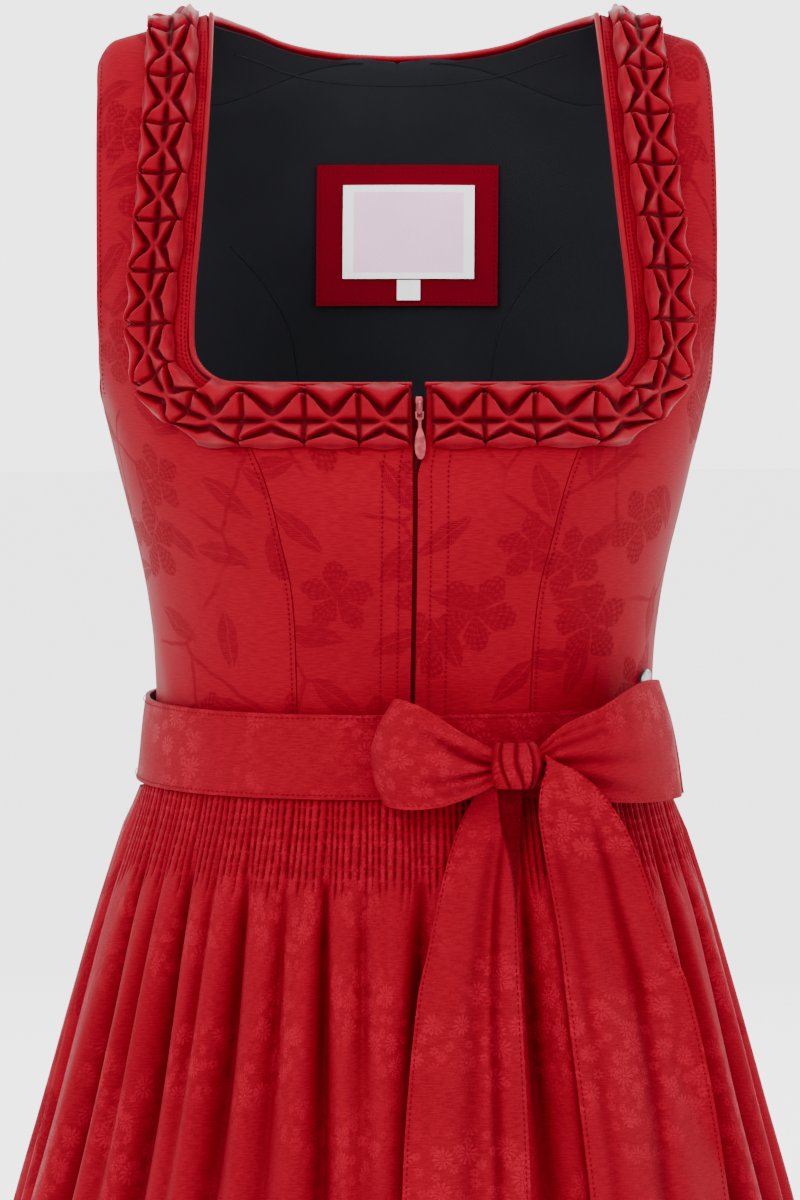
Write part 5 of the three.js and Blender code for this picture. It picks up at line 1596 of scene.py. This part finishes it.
def sew_round(bm, box, level, pitch, length, radius):
    """Stitches round a rectangle on the inside of the back."""
    x0, x1, z0, z1 = box
    corners = [(x0, z0), (x1, z0), (x1, z1), (x0, z1)]
    t = np.linspace(0, 1, 30)
    for (xa, za), (xb, zb) in zip(corners, corners[1:] + corners[:1]):
        p, n = skin_path(blend(xa, xb, t), blend(za, zb, t), True, level)
        sew(bm, p, n, pitch, length, radius)


def level_way(points):
    """The level way out from the middle of the dress, at each point."""
    n = points * np.array([1, 1, 0])
    return n / np.linalg.norm(n, axis=1, keepdims=True)


def finish_stitches(bm, name, look):
    """Smooths the stitches and makes them a piece."""
    for face in bm.faces:
        face.smooth = True
    finish_piece(bm, name, finish(look))


class DIRNDL_OT_stitching(bpy.types.Operator):
    """Topstitch the seams, edges, smocking rows and hems"""

    bl_idname = "dirndl.stitching"
    bl_label = "Stitching"

    def execute(self, context):
        _, shape, _ = settings()
        r = shape.thread / MM
        bm = bmesh.new()
        z = np.linspace(-330, -194, 60)
        zb = np.linspace(-330, -190, 60)
        low = curve([(b, a) for a, b in BACK_LOW])
        for side in (-1, 1):
            sew(bm, *skin_path(side * (princess_x(z) + 2.2), z, False), 2.5, 1.7, r)
            for off in (7.5, 15.5):
                sew(bm, *skin_path(zip_line(z) + side * off, z, False), 2.4, 1.6, r)
            for off in (1.9, 3.7):
                sew(bm, *skin_path(*neck_line(side, off), False), 2.2, 1.5, r)
            za = np.linspace(-182, -22, 60)
            sew(bm, *skin_path(side * (armhole_x(za) - 2.0), za, False), 2.4, 1.6, r)
            sew(bm, *skin_path(side * (armhole_x(za) - 2.0), za, True), 2.4, 1.6, r)
            sew(bm, *skin_path(side * (low(zb) + 2.2), zb, True), 2.5, 1.7, r)
        xs = np.linspace(-86, 86, 90)
        sew(bm, *skin_path(xs, back_neck_z(np.abs(xs)) - 3.0, True), 2.4, 1.6, r)
        finish_stitches(bm, "bodice_topstitching", "thread")

        bm = bmesh.new()
        deg = np.linspace(0, 360, 400)
        for level in (-368.0, -331.8):
            p = band(deg, level + 0 * deg, 0.1)
            sew(bm, p, level_way(p), 2.6, 1.8, r)
        v = np.linspace(0.02, 0.97, 200)
        places = bow_places()
        for tag in ("left", "right"):
            for u in (0.03, 0.97):
                sew(bm, *surface_path(places[f"tail_{tag}"], u + 0 * v, v, 1.0), 2.8, 1.9, r)
        u = np.linspace(0.03, 0.44, 60)
        for tag, way in (("left", 1.0), ("right", -1.0)):
            for level in (0.035, 0.965):
                sew(bm, *surface_path(places[f"loop_{tag}"], u, level + 0 * u, way), 2.8, 1.9, r)
        finish_stitches(bm, "sash_topstitching", "dark_thread")

        bm = bmesh.new()
        angles = pleat_angle(np.arange(1, PLEATS) / PLEATS)
        for k in range(ROWS - 1):
            level = FIRST_ROW_Z - k * ROW_PITCH
            for a in angles:
                p = hang(np.array([a - 0.35, a + 0.35]), np.array([level, level]), -0.9)
                sew(bm, p, level_way(p), 5.0, 1.9, r * 1.1)
        finish_stitches(bm, "smocking_stitches", "dark_thread")

        bm = bmesh.new()
        hems = (("apron", APRON_HEM_Z + 25, np.linspace(-78, 78, 500)),
                ("skirt", SKIRT_HEM_Z + 30, np.linspace(80, 280, 620)))
        for cloth, hem_z, deg in hems:
            level = hem_z + 0 * deg
            small = ripple(deg, level, 1.3) * 0.9 if cloth == "apron" else ripple(deg, level, 1.6) - 0.7
            p = hang(deg, level, fold_at(deg, level) + small)
            way = np.gradient(p, axis=0)
            n = np.cross(way, np.array([0, 0, -1.0]))
            n /= np.linalg.norm(n, axis=1, keepdims=True)
            n *= np.sign((n * p).sum(1, keepdims=True))
            sew(bm, p + n * 0.1, n, 3.4, 2.2, r)
        finish_stitches(bm, "hem_stitches", "thread")

        bm = bmesh.new()
        sew_round(bm, (-38.8, 50.8, -140.8, -72.7), PATCH_LEVEL - 1.25, 2.5, 1.7, r)
        finish_stitches(bm, "patch_stitches", "thread")

        bm = bmesh.new()
        sew_round(bm, (-25.8, 39.3, -127.3, -82.2), PATCH_LEVEL - 2.8, 1.9, 1.3, r * 0.8)
        finish_stitches(bm, "label_stitches", "label")
        return {"FINISHED"}


class DIRNDL_OT_seams(bpy.types.Operator):
    """Press the seams of the lining and its neck facing"""

    bl_idname = "dirndl.seams"
    bl_label = "Lining seams"

    def execute(self, context):
        bm = bmesh.new()
        low = curve([(b, a) for a, b in BACK_LOW] + [(-160, 52), (-132, 66), (-112, 84)])
        runs = []
        zs = np.linspace(-330, -112, 60)
        for side in (-1, 1):
            runs.append((side * low(zs), zs))
        xs = np.linspace(-84, 84, 60)
        runs.append((xs, back_neck_z(np.abs(xs)) - 12))
        for xs, zs in runs:
            at = find(xs, zs, True)
            q = at[:, 1]
            sunk = 1.6 * smooth(0.1, 0.34, q) * (1 - smooth(0.84, 0.98, q))
            p = lay(at[:, 0], q, True, INSIDE - LINING - sunk - 0.05)
            n = -skin_normal(at[:, 0], q, True)
            way = np.gradient(p, axis=0)
            way /= np.linalg.norm(way, axis=1, keepdims=True)
            across = np.cross(way, n)
            tube_along(bm, p, across, n, 1.1, 0.55, 6)
        lay_flat_uv(bm)
        finish_piece(bm, "lining_seams", finish("lining"))
        return {"FINISHED"}


FLOOR_Z = -1.04
FLOOR_HALF = 12.0


class DIRNDL_OT_stage(bpy.types.Operator):
    """Lay the floor and hang the soft lights and the camera"""

    bl_idname = "dirndl.stage"
    bl_label = "Studio"

    def execute(self, context):
        _, _, studio = settings()
        bm = bmesh.new()
        bmesh.ops.create_grid(bm, x_segments=2, y_segments=2, size=FLOOR_HALF)
        bmesh.ops.translate(bm, verts=bm.verts[:], vec=(0, 0, FLOOR_Z))
        mesh = bpy.data.meshes.new("floor")
        bm.to_mesh(mesh)
        bm.free()
        floor = bpy.data.objects.new("floor", mesh)
        bpy.context.scene.collection.objects.link(floor)
        mesh.materials.append(finish("floor"))

        world = bpy.data.worlds.new("studio")
        world.use_nodes = True
        world.node_tree.nodes["Background"].inputs[0].default_value = (1, 1, 1, 1)
        world.node_tree.nodes["Background"].inputs[1].default_value = 3.6
        bpy.context.scene.world = world
        lights = (
            ("key", (-1.6, -2.4, 1.3), 1.0, 70.0),
            ("fill", (2.4, -2.0, 0.2), 1.6, 24.0),
            ("top", (0.2, 0.4, 2.2), 1.2, 30.0),
            ("back", (0.4, 3.0, 0.6), 2.0, 36.0),
        )
        for name, at, size, power in lights:
            data = bpy.data.lights.new(name, "AREA")
            data.shape = "SQUARE"
            data.size = size
            data.energy = power * studio.light
            lamp = bpy.data.objects.new(name, data)
            lamp.location = at
            lamp.rotation_euler = (Vector((0, 0, -0.3)) - Vector(at)).to_track_quat("-Z", "Y").to_euler()
            bpy.context.scene.collection.objects.link(lamp)

        data = bpy.data.cameras.new("camera")
        data.lens = studio.lens
        data.sensor_width = 36.0
        data.sensor_fit = "VERTICAL"
        data.sensor_height = 36.0
        camera = bpy.data.objects.new("camera", data)
        azimuth, tilt = math.radians(-3.2), math.radians(5.3)
        aim = Vector((-0.002, 0.0, -0.284))
        away = Vector((math.sin(azimuth) * math.cos(tilt), -math.cos(azimuth) * math.cos(tilt),
                       math.sin(tilt)))
        camera.location = aim + away * studio.distance
        camera.rotation_euler = (-away).to_track_quat("-Z", "Y").to_euler()
        bpy.context.scene.collection.objects.link(camera)
        bpy.context.scene.camera = camera
        return {"FINISHED"}


OPERATORS = (
    DIRNDL_OT_stage,
    DIRNDL_OT_bodice,
    DIRNDL_OT_lining,
    DIRNDL_OT_piping,
    DIRNDL_OT_trim,
    DIRNDL_OT_zip,
    DIRNDL_OT_skirt,
    DIRNDL_OT_apron,
    DIRNDL_OT_sash,
    DIRNDL_OT_button,
    DIRNDL_OT_label,
    DIRNDL_OT_seams,
    DIRNDL_OT_stitching,
)


class DIRNDL_PT_panel(bpy.types.Panel):
    """Lists the steps of making the dirndl"""

    bl_idname = "DIRNDL_PT_panel"
    bl_label = "Dirndl"
    bl_space_type = "VIEW_3D"
    bl_region_type = "UI"
    bl_category = "Dirndl"

    def draw(self, context):
        for group in (context.scene.dirndl_cloth, context.scene.dirndl_shape, context.scene.dirndl_studio):
            for key in group.bl_rna.properties.keys():
                if key not in {"rna_type", "name"}:
                    self.layout.prop(group, key)
        for operator in OPERATORS:
            self.layout.operator(operator.bl_idname)


CLASSES = (DirndlCloth, DirndlShape, DirndlStudio) + OPERATORS + (DIRNDL_PT_panel,)


def register():
    for cls in CLASSES:
        bpy.utils.register_class(cls)
    bpy.types.Scene.dirndl_cloth = bpy.props.PointerProperty(type=DirndlCloth)
    bpy.types.Scene.dirndl_shape = bpy.props.PointerProperty(type=DirndlShape)
    bpy.types.Scene.dirndl_studio = bpy.props.PointerProperty(type=DirndlStudio)


def unregister():
    del bpy.types.Scene.dirndl_cloth
    del bpy.types.Scene.dirndl_shape
    del bpy.types.Scene.dirndl_studio
    for cls in reversed(CLASSES):
        bpy.utils.unregister_class(cls)


def main():
    register()
    for operator in OPERATORS:
        group, call = operator.bl_idname.split(".")
        getattr(getattr(bpy.ops, group), call)()
    bpy.context.view_layer.update()


if __name__ == "__main__":
    main()
